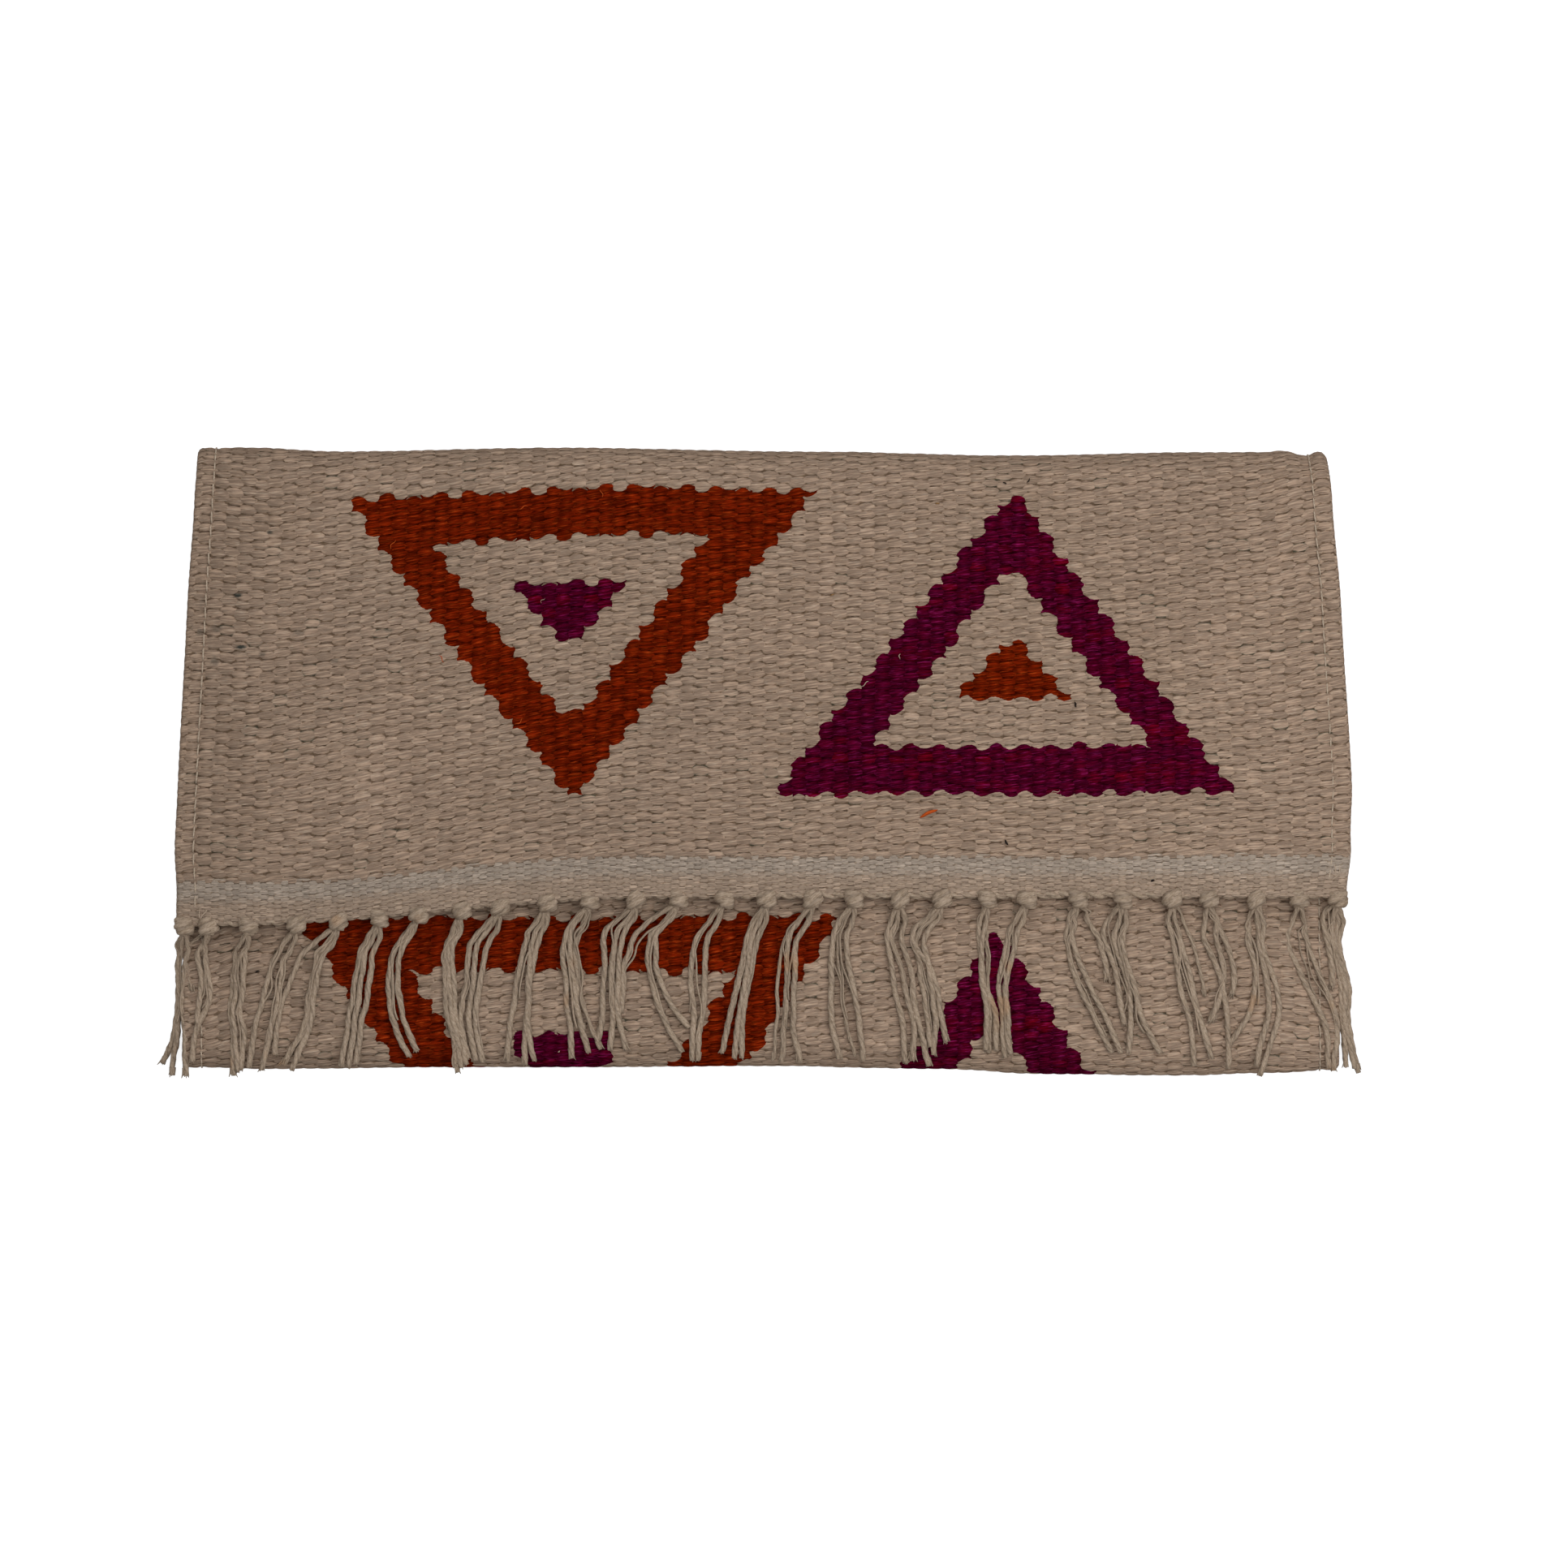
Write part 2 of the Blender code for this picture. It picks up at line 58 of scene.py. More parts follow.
YARN = "yarn"  # mesh attribute: cosine and sine of the ply's turn, and the length along it
LOG = logging.getLogger("clutch")

Array = np.ndarray
Colour = tuple[float, float, float]

WHITE: Colour = (1.0, 1.0, 1.0)
OUT = (0, 0, 1)  # straight up from the lying bag
UPPER_FACE = 7 * MM  # all that lies higher belongs to the bag's upper face


def eased(value: Array, stations: Sequence[float], levels: Sequence[float]) -> Array:
    """A curve through levels at stations, level at each: cosine easing from one to the next.

    Args:
        value: where the curve is read.
        stations: rising places that the levels belong to.
        levels: the curve's value at each station.

    Returns:
        The curve at each value, held level past both ends.
    """
    at = np.asarray(stations, float)
    level = np.asarray(levels, float)
    step = np.clip(np.searchsorted(at, value) - 1, 0, len(at) - 2)
    share = np.clip((value - at[step]) / (at[step + 1] - at[step]), 0, 1)
    return level[step] + (level[step + 1] - level[step]) * (1 - np.cos(np.pi * share)) / 2


def ripple(u: Array, v: Array, reach: float, seed: int, waves: int = 7) -> Array:
    """Smooth unevenness: a sum of sine waves in random directions, about 1 high, reach long.

    Args:
        u: first coordinate.
        v: second coordinate, in the same unit.
        reach: shortest wave's length in that unit.
        seed: number that fixes the waves.
        waves: how many are summed.

    Returns:
        The sum at each point, mostly between -1 and 1.
    """
    draw = np.random.default_rng(seed)
    total = np.zeros(np.broadcast(u, v).shape)
    for _ in range(waves):
        angle, phase, stretch = draw.random(3) * (2 * np.pi, 2 * np.pi, 2.5)
        count = 2 * np.pi / (reach * (1 + stretch))
        total += np.sin(count * (u * np.cos(angle) + v * np.sin(angle)) + phase)
    return total / math.sqrt(waves) * 0.8


@dataclass(frozen=True)
class Strip:
    """The strip of cloth and the way it is folded into a bag."""

    bag_height: float = 148.4 * MM
    fold_width: float = 270.6 * MM
    base_width: float = 272.8 * MM
    flap_width: float = 280.0 * MM
    flap_drop: float = 107.2 * MM
    flap_slant: float = 6.6 * MM
    slant_start: float = 25.0 * MM
    slant_run: float = 100.0 * MM
    mouth_drop: float = 16.0 * MM
    pocket: float = 6.0 * MM
    seam_depth: float = 1.0 * MM
    puff_margin: float = 21.0 * MM
    thickness: float = 3.0 * MM
    clearance: float = 0.3 * MM
    lining: float = 0.4 * MM
    rim: float = 15.0 * MM  # how far a fold's uneven line reaches into the cloth
    bulge_left: float = 2.8 * MM  # how far the bag's sides stand out below the flap
    bulge_right: float = 2.4 * MM
    bulge_from: tuple[float, float] = (-10.0 * MM, 20.0 * MM)  # fullest below, none above
    hang_power: float = 1.6  # how the flap's slant fades along the strip

    @property
    def half_width(self) -> float:
        """Half of the flat strip's width."""
        return self.base_width / 2

    @property
    def wall(self) -> float:
        """One thickness of cloth with its lining."""
        return self.thickness + self.clearance + self.lining

    @property
    def top_y(self) -> float:
        """Place of the top fold; the bottom fold lies as far on the other side."""
        return self.bag_height / 2

    @property
    def flap_edge_y(self) -> float:
        """Place of the flap's fringed edge at the right."""
        return self.top_y - self.flap_drop

    @property
    def mouth_y(self) -> float:
        """Place of the pocket's mouth."""
        return self.top_y - self.mouth_drop

    def front_height(self, x: Array) -> Array:
        """Height of the front's outer face: two walls and the pocket, which thins at the sides."""
        margin = (np.abs(x) - self.half_width + self.puff_margin) / self.puff_margin
        swell = (1 + np.cos(np.pi * np.clip(margin, 0, 1))) / 2
        return 2 * self.wall + self.seam_depth + (self.pocket - self.seam_depth) * swell

    def flap_height(self, x: Array) -> Array:
        """Height of the flap's outer face, one wall over the front."""
        return self.front_height(x) + self.clearance + self.wall

    @property
    def turns(self) -> tuple[float, float, float, float, float]:
        """Lengths along the strip where each fold starts and ends, and the strip's length."""
        flap = float(self.flap_height(np.zeros(1))[0])
        front = float(self.front_height(np.zeros(1))[0])
        top_start = self.top_y - flap / 2 - self.flap_edge_y
        top_end = top_start + math.pi * flap / 2
        bottom_start = top_end + self.bag_height - (flap + front) / 2
        bottom_end = bottom_start + math.pi * front / 2
        return (
            top_start,
            top_end,
            bottom_start,
            bottom_end,
            bottom_end + self.mouth_y + self.top_y - front / 2,
        )

    def body_half_width(self, y: Array) -> Array:
        """Half of the bag's width at y."""
        growth = (self.base_width - self.fold_width) / 2
        return self.fold_width / 2 + growth * (self.top_y - y) / self.bag_height

    def edge_hang(self, x: Array) -> Array:
        """How much lower the flap's edge hangs at x than at the right."""
        share = np.clip((-x - self.slant_start) / self.slant_run, 0, 1)
        return self.flap_slant * share**2 * (3 - 2 * share)

    def outline(self, x: Array, y: Array, on_flap: Array) -> tuple[Array, Array]:
        """Small moves that give the folds and the flap's sides their uneven lines.

        Args:
            x: place across the bag.
            y: place up the bag.
            on_flap: share from 0 to 1 by which a point belongs to the flap.

        Returns:
            The points' x and y after the move.
        """
        places = np.array([-136, -124, -101, -48, 12, 61, 105, 120, 125, 130, 133.4, 136]) * MM
        top = np.array([0.6, 0.7, -0.3, 0.6, -0.35, -1.3, -0.5, -0.45, -0.1, -1.2, -0.3, -0.9]) * MM
        low_places = np.array([-136, -114, -75, -46, 2, 41, 70, 99, 121, 136]) * MM
        low = np.array([0.0, -0.3, 0.1, 0.1, 0.4, -0.3, -1.6, -1.9, -1.3, -0.6]) * MM
        near_top = np.clip((y - self.top_y + self.rim) / self.rim, 0, 1) ** 2
        near_low = np.clip((-self.top_y + self.rim - y) / self.rim, 0, 1) ** 2
        moved_y = y + eased(x, places, top) * near_top + eased(x, low_places, low) * near_low
        heights = np.array([-40, -34, -20, -5, 36, 62, 76]) * MM
        right = np.array([0.0, 0.3, 2.0, 2.9, 2.3, 1.35, 0.6]) * MM
        left = np.array([-0.1, -0.3, -1.35, -1.3, -1.0, -0.45, 0.0]) * MM
        outward = np.sign(x) * np.clip(np.abs(x) / self.half_width, 0, 1) ** 3
        wider = np.where(x > 0, self.bulge_right, self.bulge_left)
        body = outward * wider * eased(y, self.bulge_from, (1.0, 0.0))
        sideways = on_flap * np.where(x > 0, eased(y, heights, right), eased(y, heights, left))
        return x + sideways * np.abs(outward) + body * (1 - on_flap), moved_y

    def place(self, x: Array, s: Array, n: Array) -> Array:
        """Points of the flat strip carried onto the folded bag.

        The strip runs straight along the flap, back and front and in half circles round the two
        folds; n is measured out from its outer face.

        Args:
            x: place across the strip.
            s: length along the strip from the fringed edge.
            n: height over the strip's outer face.

        Returns:
            An array of points, with x, y and z along its last axis.
        """
        top_start, top_end, bottom_start, bottom_end, length = self.turns
        s = s - self.edge_hang(x) * np.clip(1 - s / bottom_start, 0, 1) ** self.hang_power
        top = self.flap_height(x) / 2
        bottom = self.front_height(x) / 2
        top_y = self.top_y - top
        bottom_y = bottom - self.top_y
        over = np.pi * (s - top_start) / (top_end - top_start)
        under = np.pi * (s - bottom_start) / (bottom_end - bottom_start)
        spans = [s < top_start, s < top_end, s < bottom_start, s < bottom_end]
        y = np.select(
            spans,
            [
                self.flap_edge_y + (top_y - self.flap_edge_y) * s / top_start,
                top_y + (top + n) * np.sin(over),
                top_y + (bottom_y - top_y) * (s - top_end) / (bottom_start - top_end),
                bottom_y - (bottom + n) * np.sin(under),
            ],
            bottom_y + (self.mouth_y - bottom_y) * (s - bottom_end) / (length - bottom_end),
        )
        z = np.select(
            spans,
            [
                2 * top + n,
                top + (top + n) * np.cos(over),
                -n,
                bottom - (bottom + n) * np.cos(under),
            ],
            2 * bottom + n,
        )
        gain = self.flap_width / 2 - self.body_half_width(self.flap_edge_y)
        flare = gain * (top_y - y) / (top_y - self.flap_edge_y)
        wide = self.body_half_width(y) + np.where(s < top_start, flare, 0)
        on_flap = np.clip((top_end - s) / (top_end - top_start), 0, 1)
        x, y = self.outline(x * wide / self.half_width, y, on_flap)
        return np.stack([x, y, z], axis=-1)


class Signal:
    """A value that a node tree works out. Sums and products with it add the nodes that they need."""

    def __init__(self, graph: "Graph", socket: NodeSocket) -> None:
        """Keeps the socket that gives the value, and the graph that it belongs to."""
        self.graph = graph
        self.socket = socket

    def __add__(self, other: "Signal | float") -> "Signal":
        """This value and another."""
        return self.graph.math("ADD", self, other)

    def __sub__(self, other: "Signal | float") -> "Signal":
        """This value less another."""
        return self.graph.math("SUBTRACT", self, other)

    def __rsub__(self, other: float) -> "Signal":
        """A number less this value."""
        return self.graph.math("SUBTRACT", other, self)

    def __mul__(self, other: "Signal | float") -> "Signal":
        """This value times another."""
        return self.graph.math("MULTIPLY", self, other)

    def __lt__(self, other: "Signal | float") -> "Signal":
        """One where this value is less than another, else nought."""
        return self.graph.math("LESS_THAN", self, other)

    def __gt__(self, other: "Signal | float") -> "Signal":
        """One where this value is greater than another, else nought."""
        return self.graph.math("GREATER_THAN", self, other)

    __radd__ = __add__
    __rmul__ = __mul__


class Graph:
    """A material's or a node group's tree, with short calls for the nodes that these finishes use."""

    def __init__(self, tree: NodeTree) -> None:
        """Keeps the tree that the calls add to."""
        self.tree = tree

    def node(self, kind: str, inputs: dict | None = None, **settings) -> bpy.types.Node:
        """Adds a node.

        Args:
            kind: the node's type name, without its ShaderNode start.
            inputs: what to set or link on each input socket, by its name or number.
            settings: properties of the node.

        Returns:
            The new node.
        """
        made = self.tree.nodes.new("ShaderNode" + kind)
        for name, value in settings.items():
            setattr(made, name, value)
        for key, value in (inputs or {}).items():
            if isinstance(value, Signal):
                self.link(value, made.inputs[key])
            else:
                made.inputs[key].default_value = value
        return made

    def link(self, value: Signal, socket: NodeSocket) -> None:
        """Links a value to an input socket."""
        self.tree.links.new(value.socket, socket)

    def value(
        self, kind: str, inputs: dict | None = None, output: int | str = 0, **settings
    ) -> Signal:
        """One output of a new node.

        Args:
            kind: the node's type name, as node takes it.
            inputs: what to set or link, as node takes it.
            output: the output's number or name.
            settings: properties of the node.

        Returns:
            The output's value.
        """
        return Signal(self, self.node(kind, inputs, **settings).outputs[output])

    def math(self, operation: str, *values: Signal | float) -> Signal:
        """The result of one operation on values or numbers."""
        return self.value("Math", dict(enumerate(values)), operation=operation)

    # the names that numpy has for the same operations
    abs = partialmethod(math, "ABSOLUTE")
    cos = partialmethod(math, "COSINE")
    floor = partialmethod(math, "FLOOR")
    maximum = partialmethod(math, "MAXIMUM")
    mod = partialmethod(math, "FLOORED_MODULO")
    sign = partialmethod(math, "SIGN")
    sin = partialmethod(math, "SINE")
    sqrt = partialmethod(math, "SQRT")

    def vector_math(self, operation: str, *values: object, output: int | str = 0) -> Signal:
        """The result of one operation on vectors or colours."""
        return self.value("VectorMath", dict(enumerate(values)), output, operation=operation)

    def parts(self, vector: Signal) -> list[Signal]:
        """The three parts of a vector."""
        return [Signal(self, socket) for socket in self.node("SeparateXYZ", {0: vector}).outputs]

    def noise(self, vector: Signal, scale: float, detail: float = 2.0) -> Signal:
        """Soft noise from 0 to 1, at scale bumps to each unit of the vector."""
        inputs = {"Vector": vector, "Scale": scale, "Detail": detail, "Roughness": 0.6}
        return self.value("TexNoise", inputs, "Fac")

    def steps(self, value: Signal, low: float, high: float) -> Signal:
        """A smooth step from 0 at low to 1 at high."""
        inputs = {"Value": value, "From Min": low, "From Max": high}
        return self.value("MapRange", inputs, "Result", interpolation_type="SMOOTHSTEP")

    def mix(self, share: Signal, first: Signal | Colour, second: Signal | Colour) -> Signal:
        """A colour between two, given as values or as linear red, green and blue."""
        first, second = (c if isinstance(c, Signal) else (*c, 1.0) for c in (first, second))
        return self.value("Mix", {"Factor": share, 6: first, 7: second}, 2, data_type="RGBA")

    def shade(self, colour: Signal | Colour, light: Signal) -> Signal:
        """A colour made lighter or darker by a number."""
        return self.value("VectorMath", {0: colour, "Scale": light}, operation="SCALE")

    def varied(self, value: Signal, spread: float) -> Signal:
        """A factor of about 1, which a value from 0 to 1 moves by the spread in all."""
        return value * spread + (1 - spread / 2)

    def bump(
        self, height: Signal, distance: float, strength: float, under: Signal | None = None
    ) -> Signal:
        """The normal of a surface that a height from 0 to 1 raises.

        Args:
            height: the height at each place.
            distance: how far a height of 1 lies over a height of 0.
            strength: share of the effect that is used.
            under: the normal that the bumps lie on, if it isn't the mesh's own.

        Returns:
            The normal.
        """
        inputs = {"Height": height, "Distance": distance, "Strength": strength}
        if under:
            inputs["Normal"] = under
        return self.value("Bump", inputs)


Value = Array | Signal


class Crossing(NamedTuple):
    """One pick where it crosses one warp, in arrays of places or as values of a node tree."""

    warp: Value  # the warp's number
    row: Value  # whole picks before it in that warp
    pick: Value  # its middle, in picks along the strip
    count: Value  # picks along the strip up to the place, with their unevenness
    along: Value  # square of the place along the pick, from 0 in its middle to 1
    height: Value  # its swell at the place


@dataclass(frozen=True)
class Weave:
    """The lattice of warps and picks, and the swell of each pick where it crosses a warp."""

    warp_pitch: float = 3.30 * MM
    middle: float = 40.82  # warps from the first one to the strip's middle
    reach: float = 1.36  # how far a pick's swell spreads, in half warps
    teeth: float = 0.20  # how far picks of two colours reach past each other, in half warps
    stepped: float = 0.70  # how much the side of a coloured field keeps to whole warps
    scallop: float = 0.27  # picks by which every second warp's stitch stands past such a field's end
    uneven: tuple[tuple[float, float, float], ...] = ((0.14, 0.83, 2.1), (0.10, 1.71, 4.3))
    drift: float = 0.28 * MM  # wandering of the warps and picks
    drift_reach: float = 14.0 * MM
    pick_drift: float = 1.5  # how much more and longer the picks wander than the warps
    pick_reach: float = 1.6
    calm_edge: float = 6.0 * MM  # the drift grows from none over this much of each edge
    calm_end: float = 8.0 * MM
    thinnest: float = 0.82  # swell of the least full pick
    seed: int = 11
    hem_picks: float = 8.0
    hem_length: float = 9.6 * MM
    flap_pitch: float = 2.25 * MM
    fold_pitch: float = 2.35 * MM
    back_pitch: float = 2.45 * MM
    front_pitch: float = 2.55 * MM

    def knots(self, strip: Strip) -> tuple[Array, Array]:
        """The stretches of even pitch.

        Args:
            strip: the strip that is woven.

        Returns:
            Lengths along the strip where the picks' pitch changes, and the picks counted there.
        """
        top_start, top_end, bottom_start, _, length = strip.turns
        lengths = np.array([0.0, self.hem_length, top_start, top_end, bottom_start, length])
        pitches = [self.flap_pitch, self.fold_pitch, self.back_pitch, self.front_pitch]
        steps = np.diff(lengths[1:]) / pitches
        counts = np.concatenate([[0.0, self.hem_picks], self.hem_picks + np.cumsum(steps)])
        return lengths, counts

    def length_at(self, strip: Strip, v: Array) -> Array:
        """Length along the strip after v picks."""
        lengths, counts = self.knots(strip)
        return np.interp(v, counts, lengths)

    def picks_at(self, strip: Strip, s: float) -> float:
        """Picks up to the length s along the strip."""
        lengths, counts = self.knots(strip)
        return float(np.interp(s, lengths, counts))

    def flat(self, strip: Strip, u: Array, v: Array) -> tuple[Array, Array]:
        """Place on the flat strip, with the hand weaver's small drift.

        Args:
            strip: the strip that is woven.
            u: warps across the strip.
            v: picks along it.

        Returns:
            Place across the strip from its middle, and length along it.
        """
        x = (u - self.middle) * self.warp_pitch
        s = self.length_at(strip, v)
        calm = np.clip((strip.half_width - np.abs(x)) / self.calm_edge, 0, 1)
        x = x + self.drift * calm * ripple(x, s, self.drift_reach, self.seed)
        ends = np.clip(s / self.calm_end, 0, 1)
        wander = ripple(x, s, self.pick_reach * self.drift_reach, self.seed + 1)
        return x, s + self.pick_drift * self.drift * ends * wander

    def crossing(
        self, ops: ModuleType | Graph, warp: Value, place: Value, picks: Value
    ) -> Crossing:
        """The pick that crosses one warp: the upper half of an egg, longer across than along.

        Args:
            ops: numpy for arrays, or the graph for its values.
            warp: the warp's number.
            place: place across that warp, from -1 to 1 inside it.
            picks: picks along the strip.

        Returns:
            The crossing.
        """
        phase = ops.mod(warp, 2) * 0.5
        shifted = picks - phase
        for size, count, turn in self.uneven:
            shifted = shifted + ops.sin(picks * count + warp * turn) * size
        row = ops.floor(shifted)
        along = (shifted - row) * 2 - 1
        squared = along * along
        share = place * (1 / self.reach)
        height = ops.sqrt(ops.maximum(1 - share * share - squared, 0))
        return Crossing(warp, row, row + phase + 0.5, shifted + phase, squared, height)

    def crossings(
        self, ops: ModuleType | Graph, warps: Value, picks: Value
    ) -> tuple[Value, Crossing, Crossing]:
        """The picks that cross the warp at a place and the warp that is nearest to it.

        Args:
            ops: numpy for arrays, or the graph for its values.
            warps: warps across the strip, as the weft crosses them one by one.
            picks: picks along it.

        Returns:
            Place across the warp from -1 to 1, and the two crossings.
        """
        column = ops.floor(warps)
        across = (warps - column) * 2 - 1
        side = (across > 0) * 2 - 1
        here = self.crossing(ops, column, across, picks)
        return across, here, self.crossing(ops, column + side, across - side * 2, picks)

    def relief(self, u: Array, v: Array) -> Array:
        """Height of the cloth's face: the higher of this warp's pick and its neighbour's.

        Args:
            u: warps across the strip. In the hem the weft crosses each of a pair alone.
            v: picks along it.

        Returns:
            Height from 0 in the crease to about 1 on the pick's back.
        """
        _, *crossed = self.crossings(np, np.where(v < self.hem_picks, 2 * u, u), v)
        full = np.random.default_rng(self.seed).uniform(self.thinnest, 1.0, (97, 89))
        columns, rows = full.shape
        heights = [
            full[np.mod(at.warp, columns).astype(int), np.mod(at.row, rows).astype(int)] * at.height
            for at in crossed
        ]
        return np.maximum(*heights)


@dataclass(frozen=True)
class SteppedTriangle:
    """A triangle of coloured weft. It widens by half a warp a pick, from its tip to its base."""

    centre: float  # the warp in its middle, at the tip
    tip: float  # picks up to its tip
    base: float  # picks up to its base
    slope: float = 0.5  # warps by which each side moves out at each pick
    lean: float = 0.0  # warps by which its middle moves to the right at each pick
    tip_width: float = 0.5  # half of its width at the tip, in warps


@dataclass(frozen=True)
class Motif:
    """Three nested triangles: a coloured one, the ground inside it, and a small one in the middle."""

    outer: SteppedTriangle
    inner: SteppedTriangle
    heart: SteppedTriangle


ORANGE_MOTIFS = (
    Motif(
        SteppedTriangle(26.85, 14.75, 47.25, 0.516, 0.011, 0.30),
        SteppedTriangle(26.65, 23.75, 42.25, 0.489, -0.008, 0.95),
        SteppedTriangle(26.4, 31.25, 37.25, 0.545, 0.0, 0.8),
    ),
    Motif(
        SteppedTriangle(26.55, 96.25, 133.25, 0.5, 0.0, 1.0),
        SteppedTriangle(26.65, 106.25, 128.25, 0.51),
        SteppedTriangle(26.1, 112.25, 122.25, 0.25, 0.0, 1.3),
    ),
)
PLUM_MOTIFS = (
    Motif(
        SteppedTriangle(58.75, 46.25, 14.75, 0.501, -0.045),
        SteppedTriangle(58.3, 38.25, 19.75, 0.516, -0.013, 0.35),
        SteppedTriangle(58.35, 30.75, 24.75, 0.60, 0.0, 0.6),
    ),
    Motif(
        SteppedTriangle(57.35, 131.5, 95.25, 0.51, 0.0, 0.3),
        SteppedTriangle(57.1, 124.0, 102.25, 0.5, 0.0, 0.1),
        SteppedTriangle(57.3, 114.75, 109.25),
    ),
)


def node_group(
    name: str, inputs: Sequence[str], outputs: Sequence[str]
) -> tuple[Graph, list[Signal], Sequence[NodeSocket]]:
    """Makes an empty group of shader nodes.

    Args:
        name: the group's name.
        inputs: its number inputs.
        outputs: its number outputs.

    Returns:
        The group's graph, its inputs as values, and the sockets that its outputs are linked to.
    """
    tree = bpy.data.node_groups.new(name, "ShaderNodeTree")
    for way, titles in (("INPUT", inputs), ("OUTPUT", outputs)):
        for title in titles:
            tree.interface.new_socket(title, in_out=way, socket_type="NodeSocketFloat")
    graph = Graph(tree)
    given = tree.nodes.new("NodeGroupInput").outputs
    values = [Signal(graph, given[index]) for index in range(len(inputs))]
    return graph, values, tree.nodes.new("NodeGroupOutput").inputs


def pick_group(weave: Weave) -> NodeTree:
    """The weave's relief rule as nodes.

    Its outputs are the height of the face, the warp and pick number of the pick that shows there, and
    the warp and pick that a coloured field's edges are measured by: the warp slopes a little in each
    step, and the pick rises and falls from warp to warp as the rounded stitches do.

    Args:
        weave: the lattice whose rule it is.

    Returns:
        The group.
    """
    outputs = ("Height", "Warp", "Pick", "Edge Warp", "Edge Pick")
    graph, (pairs, picks), results = node_group("pick_lattice", ("Warps", "Picks"), outputs)
    warps = pairs * ((picks < weave.hem_picks) + 1)
    across, here, there = weave.crossings(graph, warps, picks)
    own = graph.abs(across) < (there.along - here.along) * weave.teeth + 1
    warp, pick, count = (
        graph.value("Mix", {"Factor": own, "A": getattr(there, name), "B": getattr(here, name)})
        for name in ("warp", "pick", "count")
    )
    centred = warps - 0.5
    values = (
        graph.maximum(here.height, there.height),
        warp,
        pick,
        (centred - warp) * (1 - weave.stepped) + warp,
        graph.cos(centred * math.pi) * weave.scallop + count,
    )
    for value, socket in zip(values, results):
        graph.link(value, socket)
    return graph.tree


def triangle_group() -> NodeTree:
    """Nodes that say whether a pick lies inside a stepped triangle.

    Returns:
        The group. Its inputs are the warp and pick, and then the triangle's fields in their order.
    """
    names = ("Warp", "Pick", "Centre", "Tip", "Base", "Slope", "Lean", "Tip Width")
    graph, given, results = node_group("stepped_triangle", names, ("Inside",))
    warp, pick, centre, tip, base, slope, lean, tip_width = given
    down = (pick - tip) * graph.sign(base - tip)
    past_tip = down > 0.0
    before_base = down < graph.abs(base - tip)
    off = graph.abs(warp - (down * lean + centre))
    between = off < down * slope + tip_width
    graph.link(past_tip * before_base * between, results[0])
    return graph.tree


def new_material(
    name: str, roughness: float, gloss: float = 0.0
) -> tuple[Material, Graph, Sequence[NodeSocket]]:
    """Makes a material with the standard shader.

    Args:
        name: the material's name.
        roughness: the shader's roughness.
        gloss: how much of the shader's gloss is left.

    Returns:
        The material, its graph, and the shader's inputs.
    """
    made = bpy.data.materials.new(name)
    made.use_nodes = True
    inputs = made.node_tree.nodes["Principled BSDF"].inputs
    inputs["Roughness"].default_value = roughness
    inputs["Specular IOR Level"].default_value = gloss
    return made, Graph(made.node_tree), inputs


@dataclass(frozen=True)
class Wool:
    """One colour of weft: its own tone, the tone of its odd picks, and of its fine hairs, whose lighter tone
    is partly painted highlight.
    """

    tone: Colour
    odd: Colour
    lit_fluff: Colour


CREAM = Wool((0.360, 0.255, 0.185), (0.332, 0.232, 0.164), (0.43, 0.33, 0.25))
ORANGE = Wool((0.143, 0.0098, 0.0010), (0.105, 0.0066, 0.0008), (0.27, 0.034, 0.005))
PLUM = Wool((0.062, 0.0007, 0.0113), (0.104, 0.0008, 0.0056), (0.17, 0.008, 0.065))


@dataclass(frozen=True)
class Smudge:
    """A worn or dirty spot on the flap, in millimetres."""

    x: float
    y: float
    long: float
    high: float
    strength: float


SMUDGES = (
    Smudge(-125.4, 39.2, 2.4, 1.3, 0.95),
    Smudge(-124.6, 26.8, 3.0, 1.1, 1.00),
    Smudge(-130.5, 31.2, 3.2, 2.0, 0.45),
    Smudge(-130.9, 23.4, 2.6, 2.2, 0.55),
    Smudge(-134.6, 30.4, 1.9, 2.4, 0.55),
    Smudge(-110.7, 30.2, 3.2, 1.6, 0.45),
    Smudge(-117.6, 54.2, 1.5, 1.0, 0.80),
    Smudge(-89.3, 30.7, 2.8, 1.1, 0.45),
    Smudge(-102.1, 23.5, 2.4, 1.2, 0.50),
    Smudge(-119.5, 25.0, 1.8, 1.4, 0.45),
    Smudge(-134.0, 37.5, 1.8, 3.2, 0.25),
)


@dataclass(frozen=True)
class Wander:
    """Noise that moves the lattice a little, so no two picks are alike."""

    bumps: tuple[float, float, float]  # to each warp and each pick
    across: float  # warps by which it moves a place
    along: float  # picks by which it moves a place


